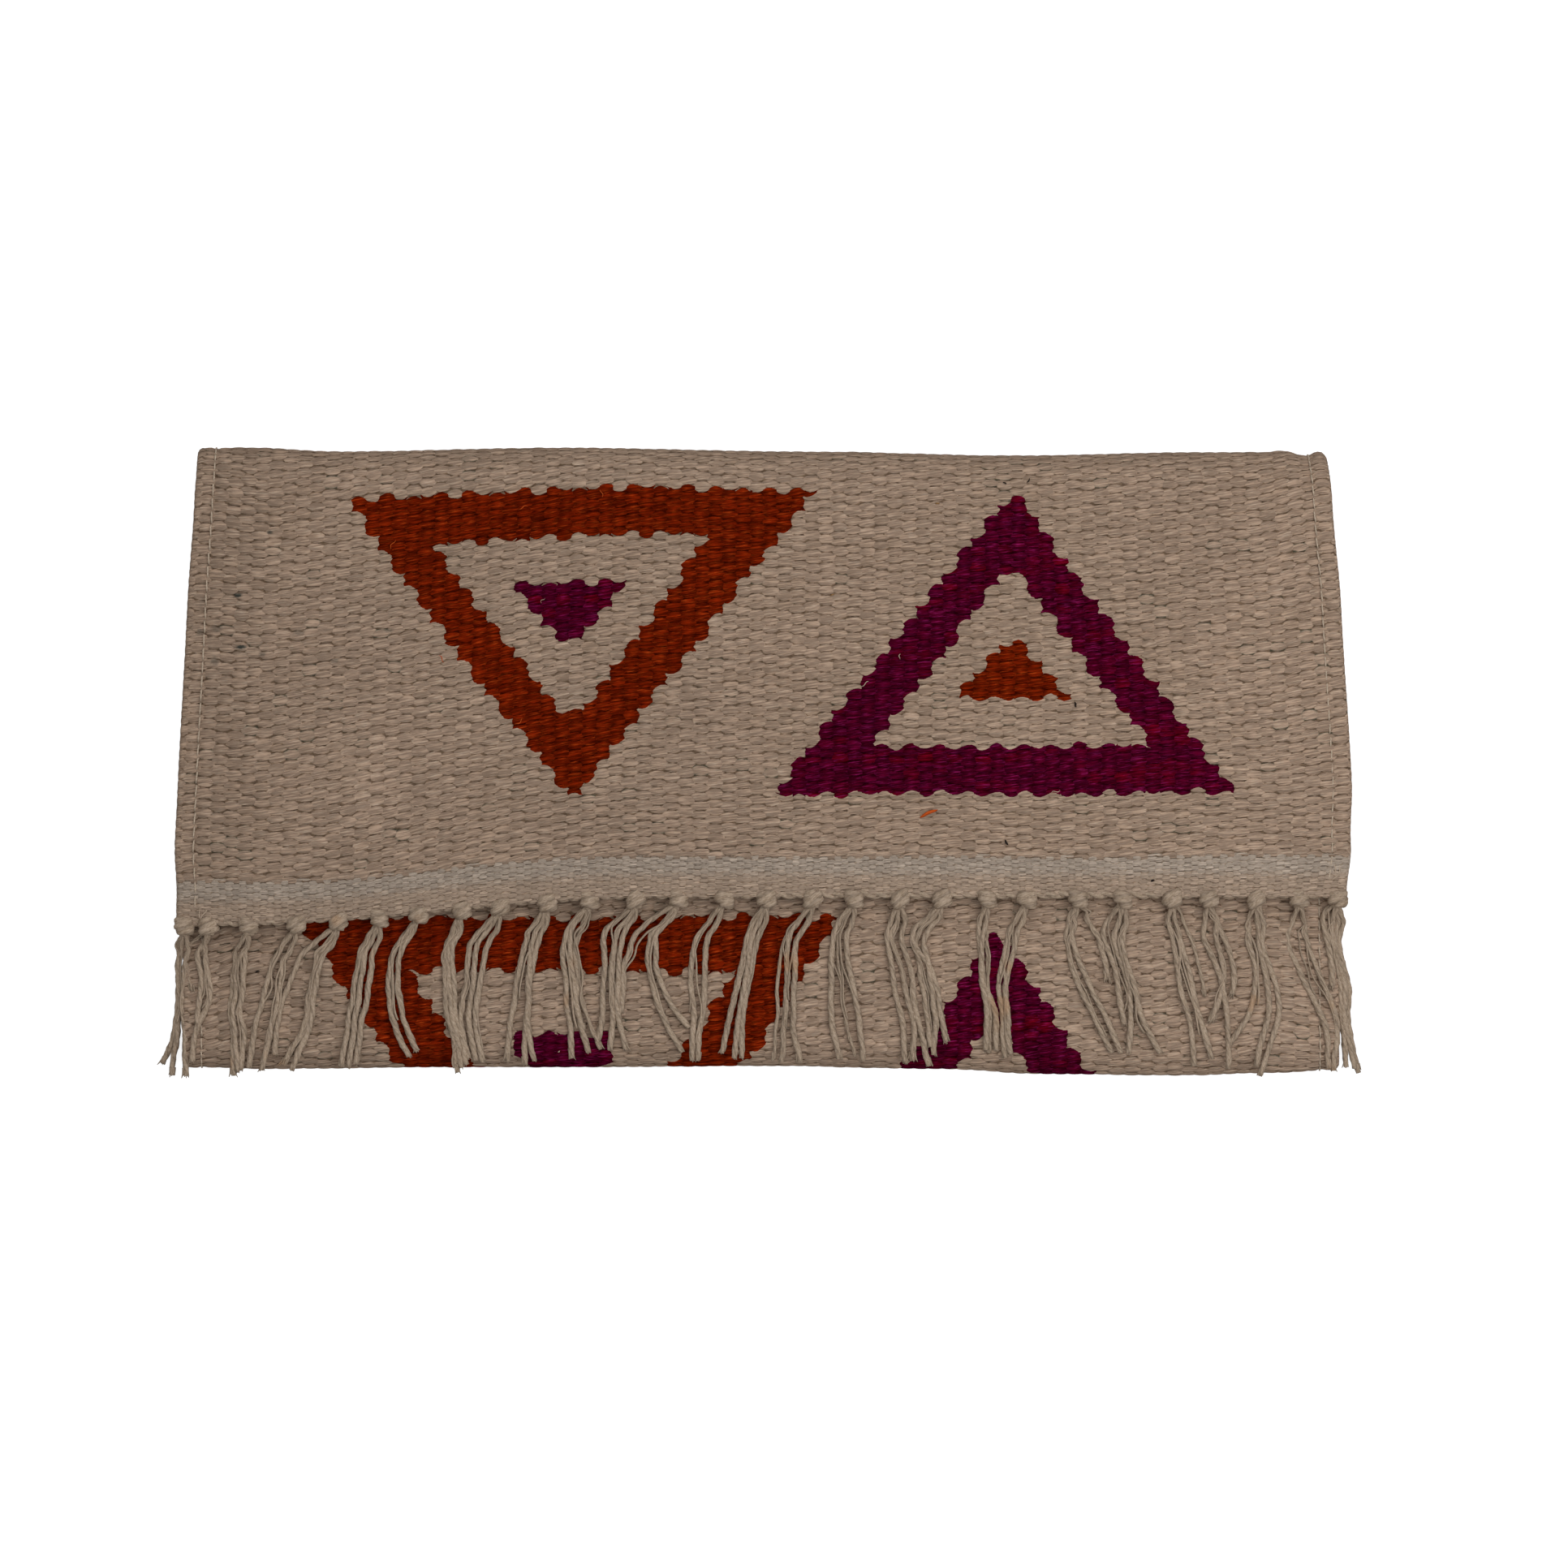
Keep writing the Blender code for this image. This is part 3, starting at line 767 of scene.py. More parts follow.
@dataclass(frozen=True)
class WovenFinish:
    """The cloth's finish: soft dry yarn, coloured pick by pick, with painted shade in its creases."""

    roughness: float = 0.95
    fine_bump: float = 0.20 * MM
    pick_bump: float = 0.30 * MM
    pick_bump_share: float = 0.9
    wanders: tuple[Wander, ...] = (
        Wander((3.0, 5.0, 0.0), 0.20, 0.20),
        Wander((0.9, 0.7, 0.0), 0.36, 0.18),
    )
    slant: float = math.radians(-11)  # of the yarn's twist, to the pick
    fibre_bumps: tuple[float, float, float] = (1.0, 7.6, 0.0)
    fibre_fineness: float = 0.72
    fibre_levels: tuple[float, float] = (0.34, 0.66)
    fluff_fineness: float = 1.2
    streak_bumps: tuple[float, float, float] = (0.11, 1.0, 1.0)  # long along a pick, new at the next
    odd_picks: tuple[float, float] = (0.46, 0.68)  # levels of the streaks where odd picks begin and end
    odd_share: float = 0.85
    pick_spread: float = 0.12  # in lightness, from pick to pick
    # painted highlight: levels of the noise where the fine hairs show lighter, and how much
    hairs: tuple[float, float] = (0.52, 0.68)
    hair_share: float = 0.80
    stained: tuple[float, float] = (0.955, 0.98)  # chances from which a pick's crease is stained
    stain: Colour = (0.17, 0.155, 0.115)
    smudge: Colour = (0.060, 0.062, 0.052)
    smudge_bumps: float = 1400.0  # to a metre, in the smudges' uneven rims
    smudge_uneven: float = 0.9
    smudge_rim: tuple[float, float] = (0.8, 1.7)
    hem: Colour = (0.459, 0.343, 0.257)
    pale_hem: Colour = (0.475, 0.391, 0.318)
    pale_from: tuple[float, float] = (3.2, 5.6)  # picks between which the hem turns pale
    hem_share: float = 0.85
    hem_spread: float = 0.16
    rightward_gain: float = 0.40  # gain in lightness over a metre to the right
    age_bumps: float = 28.0  # to a metre
    age_spread: float = 0.24
    crease_shade_levels: tuple[float, float] = (-0.05, 0.58)  # heights from a crease to a pick's back, over which the painted crease shade fades
    stain_levels: tuple[float, float] = (0.15, 0.75)  # and those between which a stain ends
    crease: float = 0.46  # painted shade: share of the colour's lightness that is left in the creases
    # painted shade left in the creases of coloured weft
    dyed_crease_shade: float = 0.52
    hem_crease_shade: float = 0.24  # less painted shade in the hem's creases
    crease_shade_tint: Colour = (1.0, 0.93, 0.84)  # painted shade is warmer in the creases, as where light goes through the wool
    contrast: float = 0.54  # of the fibres
    dyed_contrast: float = 0.46  # more of it in coloured weft
    hem_contrast: float = -0.14  # and less in the hem
    painted_rib_shade: float = 0.13  # painted light and shade: how much lighter coloured weft is painted over each warp, and darker between them

    def build(self, weave: Weave) -> Material:
        """Makes the material.

        Args:
            weave: the lattice that the cloth's mesh carries as its attribute.

        Returns:
            The material, for every panel of the cloth.
        """
        made, graph, shader = new_material("woven_wool", self.roughness)
        lattice = graph.value("Attribute", output="Vector", attribute_name=LATTICE)
        place = graph.value("TexCoord", output="Object")
        straight, picks, face = graph.parts(lattice)
        warps = straight
        for wander in self.wanders:
            sway = graph.noise(graph.vector_math("MULTIPLY", lattice, wander.bumps), 1.0) - 0.5
            warps = sway * wander.across + warps
            picks = sway * wander.along + picks
        shown = graph.node("Group", {0: warps, 1: picks}, node_tree=pick_group(weave)).outputs
        height, warp, pick, *edge = [Signal(graph, socket) for socket in shown]
        orange, plum = self.fields(graph, *edge)
        dye = graph.maximum(orange, plum)
        in_hem = pick < weave.hem_picks
        cell = graph.value("CombineXYZ", {0: warp, 1: pick})
        chance = graph.value("TexWhiteNoise", {"Vector": cell}, "Value", noise_dimensions="3D")
        streak = graph.noise(graph.vector_math("MULTIPLY", cell, self.streak_bumps), 1.0, 3.0)
        # noise of the fine hairs, which are painted lighter as their highlight
        lit_fluff = self.fibres(graph, lattice, warp, self.fluff_fineness)
        colour = self.coloured(graph, CREAM, chance, streak, lit_fluff)
        crease = 1 - graph.steps(height, *self.stain_levels)
        colour = graph.mix(graph.steps(chance, *self.stained) * crease, colour, self.stain)
        colour = graph.mix(self.smudged(graph, place), colour, self.smudge)
        hem = graph.mix(graph.steps(pick, *self.pale_from), self.hem, self.pale_hem)
        hem = graph.shade(hem, graph.varied(chance, self.hem_spread))
        colour = graph.mix(in_hem * self.hem_share, colour, hem)
        for shows, wool in ((orange, ORANGE), (plum, PLUM)):
            colour = graph.mix(shows, colour, self.coloured(graph, wool, chance, streak, lit_fluff))
        # painted shade: the colour is darkened and warmed towards each crease, as if shaded there
        depth = graph.steps(height, *self.crease_shade_levels)
        colour = graph.vector_math("MULTIPLY", colour, graph.mix(depth, self.crease_shade_tint, WHITE))
        dark = dye * (self.dyed_crease_shade - self.crease) + self.crease + in_hem * self.hem_crease_shade
        patchy_tone = graph.varied(graph.noise(place, self.age_bumps), self.age_spread)
        # lighter towards the right of the bag
        patchy_tone = graph.parts(place)[0] * self.rightward_gain + patchy_tone
        fibre = graph.steps(
            self.fibres(graph, lattice, warp, self.fibre_fineness), *self.fibre_levels
        )
        contrast = dye * self.dyed_contrast + in_hem * self.hem_contrast + self.contrast
        # painted light and shade: coloured weft lighter over each warp and darker between them
        painted_rib_shade = graph.cos(straight * (2 * math.pi)) * dye * self.painted_rib_shade
        light = (depth * (1 - dark) + dark) * patchy_tone * ((fibre - 0.5) * contrast + 1) * (1 - painted_rib_shade)
        graph.link(graph.shade(colour, light), shader["Base Color"])
        coarse = graph.bump(height * face, self.pick_bump, self.pick_bump_share)
        graph.link(graph.bump(fibre, self.fine_bump, 1.0, coarse), shader["Normal"])
        return made

    def smudged(self, graph: Graph, place: Signal) -> Signal:
        """How dirty the cloth is: the strongest smudge at each place.

        Args:
            graph: the material's graph.
            place: the place on the bag.

        Returns:
            The dirt, from 0 to 1.
        """
        dirt: Signal | float = 0.0
        uneven = graph.noise(place, self.smudge_bumps) * self.smudge_uneven
        for spot in SMUDGES:
            off = graph.vector_math("SUBTRACT", place, (spot.x * MM, spot.y * MM, 0.0))
            shrink = (2 / (spot.long * MM), 2 / (spot.high * MM), 0.0)
            far = graph.vector_math(
                "LENGTH", graph.vector_math("MULTIPLY", off, shrink), output="Value"
            )
            inside = 1 - graph.steps(far + uneven, *self.smudge_rim)
            dirt = graph.maximum(dirt, inside * spot.strength)
        return dirt * (graph.parts(place)[2] > UPPER_FACE)

    def fields(self, graph: Graph, warp: Signal, pick: Signal) -> tuple[Signal, Signal]:
        """Where the weft is dyed.

        Args:
            graph: the material's graph.
            warp: the warp that a coloured field's edges are measured by.
            pick: the pick that they are measured by.

        Returns:
            Where it is orange and where it is plum, as two numbers from 0 to 1.
        """
        group = triangle_group()

        def inside(shape: SteppedTriangle) -> Signal:
            """Whether this pick is inside one triangle."""
            return graph.value("Group", dict(enumerate((warp, pick, *astuple(shape)))), node_tree=group)

        def dyed(rings: Sequence[Motif], hearts: Sequence[Motif]) -> Signal:
            """Where one wool shows: in the rings of some motifs and in the middle of the others."""
            shown: Signal | float = 0.0
            for motif in rings:
                shown = graph.maximum(shown, inside(motif.outer) - inside(motif.inner))
            for motif in hearts:
                shown = graph.maximum(shown, inside(motif.heart))
            return shown

        return dyed(ORANGE_MOTIFS, PLUM_MOTIFS), dyed(PLUM_MOTIFS, ORANGE_MOTIFS)

    def coloured(
        self, graph: Graph, wool: Wool, chance: Signal, streak: Signal, lit_fluff: Signal
    ) -> Signal:
        """A wool's colour: its tone, its odd picks, and fine hairs over both, painted lighter for their
        highlight.

        Args:
            graph: the material's graph.
            wool: the wool.
            chance: a random number for each pick.
            streak: slow change from pick to pick.
            lit_fluff: noise of the hairs.

        Returns:
            The colour.
        """
        odd = graph.steps(streak, *self.odd_picks) * self.odd_share
        light = graph.varied(chance, self.pick_spread)
        tone = graph.shade(graph.mix(odd, wool.tone, wool.odd), light)
        return graph.mix(graph.steps(lit_fluff, *self.hairs) * self.hair_share, tone, wool.lit_fluff)

    def fibres(self, graph: Graph, lattice: Signal, warp: Signal, fineness: float) -> Signal:
        """Fine slanting streaks along each pick, as the yarn's own twist shows.

        Args:
            graph: the material's graph.
            lattice: warp and pick counts.
            warp: the number of the warp, which gives each its own streaks.
            fineness: factor on how fine they are.

        Returns:
            Noise from 0 to 1.
        """
        turned = graph.value(
            "VectorRotate", {"Vector": lattice, "Angle": self.slant}, rotation_type="Z_AXIS"
        )
        stretched = graph.vector_math("MULTIPLY", turned, self.fibre_bumps)
        own = graph.value("CombineXYZ", {2: warp})
        return graph.noise(graph.vector_math("ADD", stretched, own), fineness)


@dataclass(frozen=True)
class YarnFinish:
    """Soft twisted yarn or thread, streaked along its ply, with painted shade between its plies."""

    name: str
    tone: Colour
    shade_tone: Colour
    tinge: Colour = (0.0, 0.0, 0.0)
    tinge_share: float = 0.0
    tinge_bumps: float = 75.0  # to a metre
    roughness: float = 0.9
    gloss: float = 0.05
    bump: float = 0.09 * MM
    streaks: float = 3.2
    streak_length: float = 0.35  # how much slower the streaks change along the yarn than round it
    streak_levels: tuple[float, float] = (0.30, 0.66)
    tinge_levels: tuple[float, float] = (0.66, 0.74)
    valley_levels: tuple[float, float] = (-1.0, -0.1)
    age_bumps: float = 160.0  # to a metre
    age_spread: float = 0.30
    groove: float = 0.27  # painted shade: how much darker the yarn is painted between its plies

    def build(self) -> Material:
        """Makes the material, which reads the ply's turn from the mesh's yarn attribute.

        The valleys between three plies, which are painted darker as if shaded, lie where the cosine of
        three times the turn is low, and that is four times the turn's cosine cubed less three times the
        cosine.

        Returns:
            The material.
        """
        made, graph, shader = new_material(self.name, self.roughness, self.gloss)
        ply = graph.value("Attribute", output="Vector", attribute_name=YARN)
        place = graph.value("TexCoord", output="Object")
        stretched = graph.vector_math("MULTIPLY", ply, (1.0, 1.0, self.streak_length))
        streak = graph.noise(stretched, self.streaks, 4.0)
        colour = graph.mix(graph.steps(streak, *self.streak_levels), self.shade_tone, self.tone)
        patch = graph.steps(graph.noise(place, self.tinge_bumps, 1.0), *self.tinge_levels)
        colour = graph.mix(patch * self.tinge_share, colour, self.tinge)
        turn = graph.parts(ply)[0]
        # painted shade between the plies
        painted_valley_shade = 1 - graph.steps(turn * turn * turn * 4.0 - turn * 3.0, *self.valley_levels)
        patchy_tone = graph.varied(graph.noise(place, self.age_bumps), self.age_spread)
        light = patchy_tone * (1 - painted_valley_shade * self.groove)
        graph.link(graph.shade(colour, light), shader["Base Color"])
        graph.link(graph.bump(streak, self.bump, 1.0), shader["Normal"])
        return made


FRINGE_YARN = YarnFinish(
    "fringe_cotton_yarn", (0.450, 0.350, 0.265), (0.260, 0.190, 0.128), (0.46, 0.24, 0.11), 0.35
)
SEWING_THREAD = YarnFinish("pale_sewing_thread", (0.58, 0.47, 0.36), (0.46, 0.36, 0.27))
STRAY_WOOLS = {
    "orange": YarnFinish("stray_orange", (0.62, 0.11, 0.02), (0.42, 0.06, 0.01)),
    "dark": YarnFinish("stray_dark", (0.03, 0.022, 0.018), (0.015, 0.011, 0.01)),
    "tan": YarnFinish("stray_tan", (0.33, 0.19, 0.08), (0.24, 0.13, 0.05)),
    "pale": YarnFinish("stray_pale", (0.60, 0.47, 0.36), (0.50, 0.38, 0.28)),
}


@dataclass(frozen=True)
class LiningFinish:
    """Thin plain cotton, with its fine threads crossing both ways."""

    tone: Colour = (0.36, 0.29, 0.22)
    roughness: float = 0.9
    gloss: float = 0.5
    threads: float = 3000.0  # radians by which the threads' wave turns in a metre
    painted_thread_highlight: float = 0.06  # painted light: gain in lightness on the threads' backs
    wear_bumps: float = 60.0  # to a metre
    wear_light: float = 0.30  # gain from the most worn place to the least
    worn: float = 0.83  # lightness where it is most worn
    bump: float = 0.05 * MM
    bump_share: float = 0.7

    def build(self) -> Material:
        """Makes the material, on object coordinates."""
        made, graph, shader = new_material("lining_cotton_weave", self.roughness, self.gloss)
        place = graph.value("TexCoord", output="Object")
        across, along = (graph.sin(part * self.threads) for part in graph.parts(place)[:2])
        height = across * along
        wear = graph.noise(place, self.wear_bumps, 3.0)
        # painted light: lighter on the threads' backs
        light = height * self.painted_thread_highlight + wear * self.wear_light + self.worn
        graph.link(graph.shade(self.tone, light), shader["Base Color"])
        graph.link(graph.bump(height, self.bump, self.bump_share), shader["Normal"])
        return made


def linked(name: str, data: object) -> Object:
    """A new object in the scene, with its mesh, lamp or camera."""
    made = bpy.data.objects.new(name, data)
    bpy.context.scene.collection.objects.link(made)
    return made


def laced(upper: int, around: int) -> list[list[int]]:
    """Triangles that lace the first upper points of a ring to the rest, which run back below them.

    Each step along the upper points ends on one lower point, and each step along the lower points
    ends on the upper point where the first kind of step moves on to the next lower point.

    Args:
        upper: how many points run along the upper side.
        around: points of the whole ring.

    Returns:
        The triangles, as numbers of the ring's points.
    """
    lower = around - upper
    edge = np.arange(upper - 1)
    partner = ((edge + 0.5) / (upper - 1) * lower).astype(int)
    steps = np.stack([edge + 1, edge, around - 1 - partner], axis=1)
    turn = np.flatnonzero(np.diff(partner)) + 1
    turns = np.stack([edge[turn], around - partner[turn], around - 1 - partner[turn]], axis=1)
    return np.concatenate([steps, turns]).tolist()


def closed_loops(points: Array, upper: int = 0) -> tuple[Array, Array, list[list[int]]]:
    """Joins rings of points into a closed skin: quads between rings, and a cap at each end.

    Args:
        points: an array of rings by points by 3. Each ring is closed on itself.
        upper: for a wide flat ring, how many of its points run along its upper side. Its caps are
            then laced from those to the lower ones, so they follow a curved end.

    Returns:
        The points in one list, the quads, and the faces of the two caps.
    """
    rings, around = points.shape[:2]
    start = np.arange(rings - 1)[:, None] * around
    spot = np.arange(around)
    following = (spot + 1) % around
    quads = np.stack(
        [start + spot, start + following, start + around + following, start + around + spot],
        axis=-1,
    ).reshape(-1, 4)
    first = laced(upper, around) if upper else [list(range(around))[::-1]]
    last = [[index + (rings - 1) * around for index in face[::-1]] for face in first]
    caps = first + last
    flat = points.reshape(-1, 3)
    a, b, c, d = (flat[quads[:, i]] for i in range(4))
    volume = np.einsum("ij,ij->i", a, np.cross(b, c) + np.cross(c, d)).sum()
    if volume < 0:
        quads = quads[:, ::-1]
        caps = [cap[::-1] for cap in caps]
    return flat, quads, caps


@dataclass
class Skin:
    """Collects closed skins into one piece, with a vector for each point as its attribute."""

    attribute: str
    points: list[Array] = field(default_factory=list)
    faces: list[list[int]] = field(default_factory=list)
    values: list[Array] = field(default_factory=list)
    count: int = 0

    def add(self, rings: Array, values: Array, upper: int = 0) -> None:
        """Adds a closed skin.

        Args:
            rings: its rings of points.
            values: the attribute's value for each point.
            upper: as closed_loops takes it.
        """
        points, quads, caps = closed_loops(rings, upper)
        self.faces += (quads + self.count).tolist()
        self.faces += [[index + self.count for index in cap] for cap in caps]
        self.points.append(points)
        self.values.append(values.reshape(-1, 3))
        self.count += len(points)

    def piece(self, name: str, material: Material) -> Object:
        """Links all that was added as one smooth-shaded object at the origin.

        Args:
            name: the piece's name.
            material: its finish.

        Returns:
            The new object.
        """
        mesh = bpy.data.meshes.new(name)
        mesh.from_pydata(np.concatenate(self.points).tolist(), [], self.faces)
        layer = mesh.attributes.new(self.attribute, "FLOAT_VECTOR", "POINT")
        layer.data.foreach_set("vector", np.concatenate(self.values).astype(np.float32).ravel())
        mesh.materials.append(material)
        mesh.polygons.foreach_set("use_smooth", np.ones(len(mesh.polygons), bool))
        mesh.update()
        made = linked(name, mesh)
        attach(made, BODY)
        LOG.info("%s: %d points, %d faces", name, len(mesh.vertices), len(mesh.polygons))
        return made


class Panel(Enum):
    """The parts of the strip that are pieces of their own."""

    FLAP = "flap_cloth"
    BACK = "back_cloth"
    FRONT = "front_cloth"


@dataclass(frozen=True)
class ClothPanel:
    """One part of the woven cloth: its relief outside, rolled side edges and a plain inner face."""

    strip: Strip
    weave: Weave
    panel: Panel
    relief: float = 0.72 * MM
    hem_relief: float = 0.28 * MM
    fold_relief: float = 0.40 * MM
    hem_end: float = 9.0 * MM  # length after which the relief grows from the hem's to its full depth
    full_from: float = 13.0 * MM
    fold_ease: float = 4.0 * MM  # how far before and after a fold its shallower relief is reached
    fold_start: float = 9.0 * MM
    front_ease: float = 2.0 * MM
    roll_steps: int = 6
    inner_steps: int = 24
    undulation: float = 0.45 * MM
    undulation_reach: float = 46.0 * MM
    undulation_start: float = 12.0 * MM  # length over which it grows, away from a fold
    undulation_seed: int = 5
    groove_inset: float = 4.5 * MM
    groove_depth: float = 0.28 * MM
    groove_width: float = 0.7 * MM
    seen_front: float = 42.0 * MM  # how far up the front its relief is made in full
    nearest_rows: float = 0.02  # picks between two rows that are kept apart
    facing: float = 0.99  # the outer face is where the outward direction is this much along n

    def spans(self) -> list[tuple[float, float, float]]:
        """Stretches of the panel: their first and last length, and the share of a pick a row takes."""
        _, top_end, bottom_start, bottom_end, length = self.strip.turns
        if self.panel is Panel.FLAP:
            return [(0.0, top_end, 0.25)]
        if self.panel is Panel.BACK:
            return [(top_end, bottom_start, 0.5)]
        seen = bottom_end + self.seen_front
        return [(bottom_start, seen, 0.25), (seen, length, 1.0)]

    def rows(self) -> Array:
        """Pick counts at which the panel has a row of points."""
        found = []
        for low, high, step in self.spans():
            first = self.weave.picks_at(self.strip, low)
            last = self.weave.picks_at(self.strip, high)
            inner = np.arange(math.ceil(first / step) * step, last, step)
            found.append(np.concatenate([[first], inner[inner > first + step / 4], [last]]))
        rows = np.concatenate(found)
        return rows[np.concatenate([[True], np.diff(rows) > self.nearest_rows])]

    def section(self) -> Array:
        """The loop round the strip's cross-section.

        It runs up round the left edge in a half circle, along the outer face, down round the right
        edge and back along the inner face.

        Returns:
            Warp count, place across, height, and the outward direction's x and n, each a row.
        """
        radius = self.strip.thickness / 2
        edge = self.strip.half_width - radius
        pitch = self.weave.warp_pitch
        step = 0.5 if self.panel is Panel.BACK else 0.25
        low, high = self.weave.middle - edge / pitch, self.weave.middle + edge / pitch
        u = np.arange(math.ceil(low / step) * step, high, step)
        angle = np.pi * (np.arange(self.roll_steps) + 0.5) / self.roll_steps
        left = angle[::-1]
        inner = np.linspace(edge, -edge, self.inner_steps)
        flat = 0 * u
        under = 0 * inner
        return np.concatenate(
            [
                (
                    low - left * radius / pitch,
                    -edge - radius * np.sin(left),
                    radius * (np.cos(left) - 1),
                    -np.sin(left),
                    np.cos(left),
                ),
                (u, (u - self.weave.middle) * pitch, flat, flat, flat + 1),
                (
                    high + angle * radius / pitch,
                    edge + radius * np.sin(angle),
                    radius * (np.cos(angle) - 1),
                    np.sin(angle),
                    np.cos(angle),
                ),
                (inner / pitch + self.weave.middle, inner, under - 2 * radius, under, under - 1),
            ],
            axis=1,
        )

    def depth(self, s: Array) -> Array:
        """Depth of the relief along the strip: less in the hem and on the folds, where yarns lie flat.

        Args:
            s: length along the strip.

        Returns:
            The depth at each length.
        """
        top_start, top_end, bottom_start, bottom_end, _ = self.strip.turns
        ease = self.fold_ease
        hem, full, low = self.hem_relief, self.relief, self.fold_relief
        places = (0, self.hem_end, self.full_from, top_start - ease, top_start + self.fold_start)
        places += (top_end + ease, bottom_start - ease, bottom_start + self.fold_start)
        places += (bottom_end - self.front_ease, bottom_end + ease)
        return eased(s, places, (hem, hem, full, full, low, full, full, low, low, full))

    def build(self, material: Material) -> Object:
        """Makes the panel.

        The face drops from its crest by the relief times one less the swell, by a groove under the
        line of stitches, and by a slow undulation where the cloth is free to rise.

        Args:
            material: the woven finish.

        Returns:
            The panel's object.
        """
        section = self.section()
        v, u, x, n, out_x, out_n = np.broadcast_arrays(self.rows()[:, None], *section)
        flat_x, s = self.weave.flat(self.strip, u, v)
        outer = out_n > self.facing
        open_face = np.clip(0.5 + out_n * 0.75, 0, 1) * np.where(outer, 1.0, 0.5)
        x = np.where(outer, flat_x, x)
        s = np.where(open_face > 0, s, self.weave.length_at(self.strip, v))
        drop = self.depth(s) * (1 - self.weave.relief(u, v)) * open_face
        groove_x = self.strip.half_width - self.groove_inset
        groove = np.exp(-(((np.abs(x) - groove_x) / self.groove_width) ** 2))
        drop = drop + self.groove_depth * groove * outer
        points = self.strip.place(x - out_x * drop, s, n - out_n * drop)
        if self.panel is not Panel.BACK:
            top_start, _, _, bottom_end, _ = self.strip.turns
            past = top_start - s if self.panel is Panel.FLAP else s - bottom_end
            wave = ripple(x, s, self.undulation_reach, self.undulation_seed)
            points[..., 2] += self.undulation * np.clip(past / self.undulation_start, 0, 1) * wave
        skin = Skin(LATTICE)
        skin.add(points, np.stack([u, v, open_face], axis=-1), u.shape[1] - self.inner_steps)
        return skin.piece(self.panel.value, material)


def tube(
    path: Array,
    radius: Array,
    sides: int,
    upright: Sequence[float],
    lobes: int = 0,
    lobe_depth: float = 0.0,
    twist: float = 0.0,
    phase: float = 0.0,
) -> tuple[Array, Array]:
    """A tube along a path, round or with turning lobes like laid yarn.

    Each point lies at radius times one plus the lobe's cosine from the path, in the plane across it.

    Args:
        path: points along the middle.
        radius: the tube's radius at each of them.
        sides: points round each ring.
        upright: a direction that the path never runs along.
        lobes: strands that show round the yarn.
        lobe_depth: how far they stand out, as a share of the radius.
        twist: turn of the lobes for each metre of length, in radians.
        phase: turn of the lobes at the start.

    Returns:
        Rings of points, and the yarn attribute for each.
    """
    tangent = np.gradient(path, axis=0)
    tangent /= np.linalg.norm(tangent, axis=1, keepdims=True)
    side = np.cross(tangent, np.asarray(upright, float))
    side /= np.linalg.norm(side, axis=1, keepdims=True)
    up = np.cross(side, tangent)
    steps = np.linalg.norm(np.diff(path, axis=0), axis=1)
    length = np.concatenate([[0.0], np.cumsum(steps)])
    angle = np.linspace(0, 2 * np.pi, sides, endpoint=False)[None, :]
    turn = angle - twist * length[:, None] - phase
    bulge = 1 + lobe_depth * np.cos(lobes * turn) if lobes else np.ones_like(turn)
    reach = radius[:, None] * bulge
    rings = (
        path[:, None, :]
        + (reach * np.cos(angle))[..., None] * side[:, None, :]
        + (reach * np.sin(angle))[..., None] * up[:, None, :]
    )
    along = np.broadcast_to(length[:, None] / MM, turn.shape)
    return rings, np.stack([np.cos(turn), np.sin(turn), along + phase], axis=-1)


def through(points: Array, count: int) -> Array:
    """A smooth curve through points (Catmull-Rom), read at evenly spaced parameters.

    Args:
        points: points that the curve passes, two or more.
        count: how many points to read from it.

    Returns:
        The points read.
    """
    padded = np.concatenate([2 * points[:1] - points[1:2], points, 2 * points[-1:] - points[-2:-1]])
    t = np.linspace(0, len(points) - 1 - 1e-9, count)
    i = t.astype(int)
    f = (t - i)[:, None]
    before, start, end, after = (padded[i + k] for k in range(4))
    return 0.5 * (
        2 * start
        + (end - before) * f
        + (2 * before - 5 * start + 4 * end - after) * f**2
        + (3 * start - before - 3 * end + after) * f**3
    )


@dataclass(frozen=True)
class Hang:
    """One yarn of a tassel: how far it is from its knot at each quarter of its fall, and the fall."""

    quarter: float
    half: float
    three: float
    end: float
    fall: float
    thin: float = 1.0


@dataclass(frozen=True)
class Knot:
    """A tassel's knot, as its place across the flap's edge in millimetres, and the yarns from it."""

    across: float
    yarns: tuple[Hang, ...]


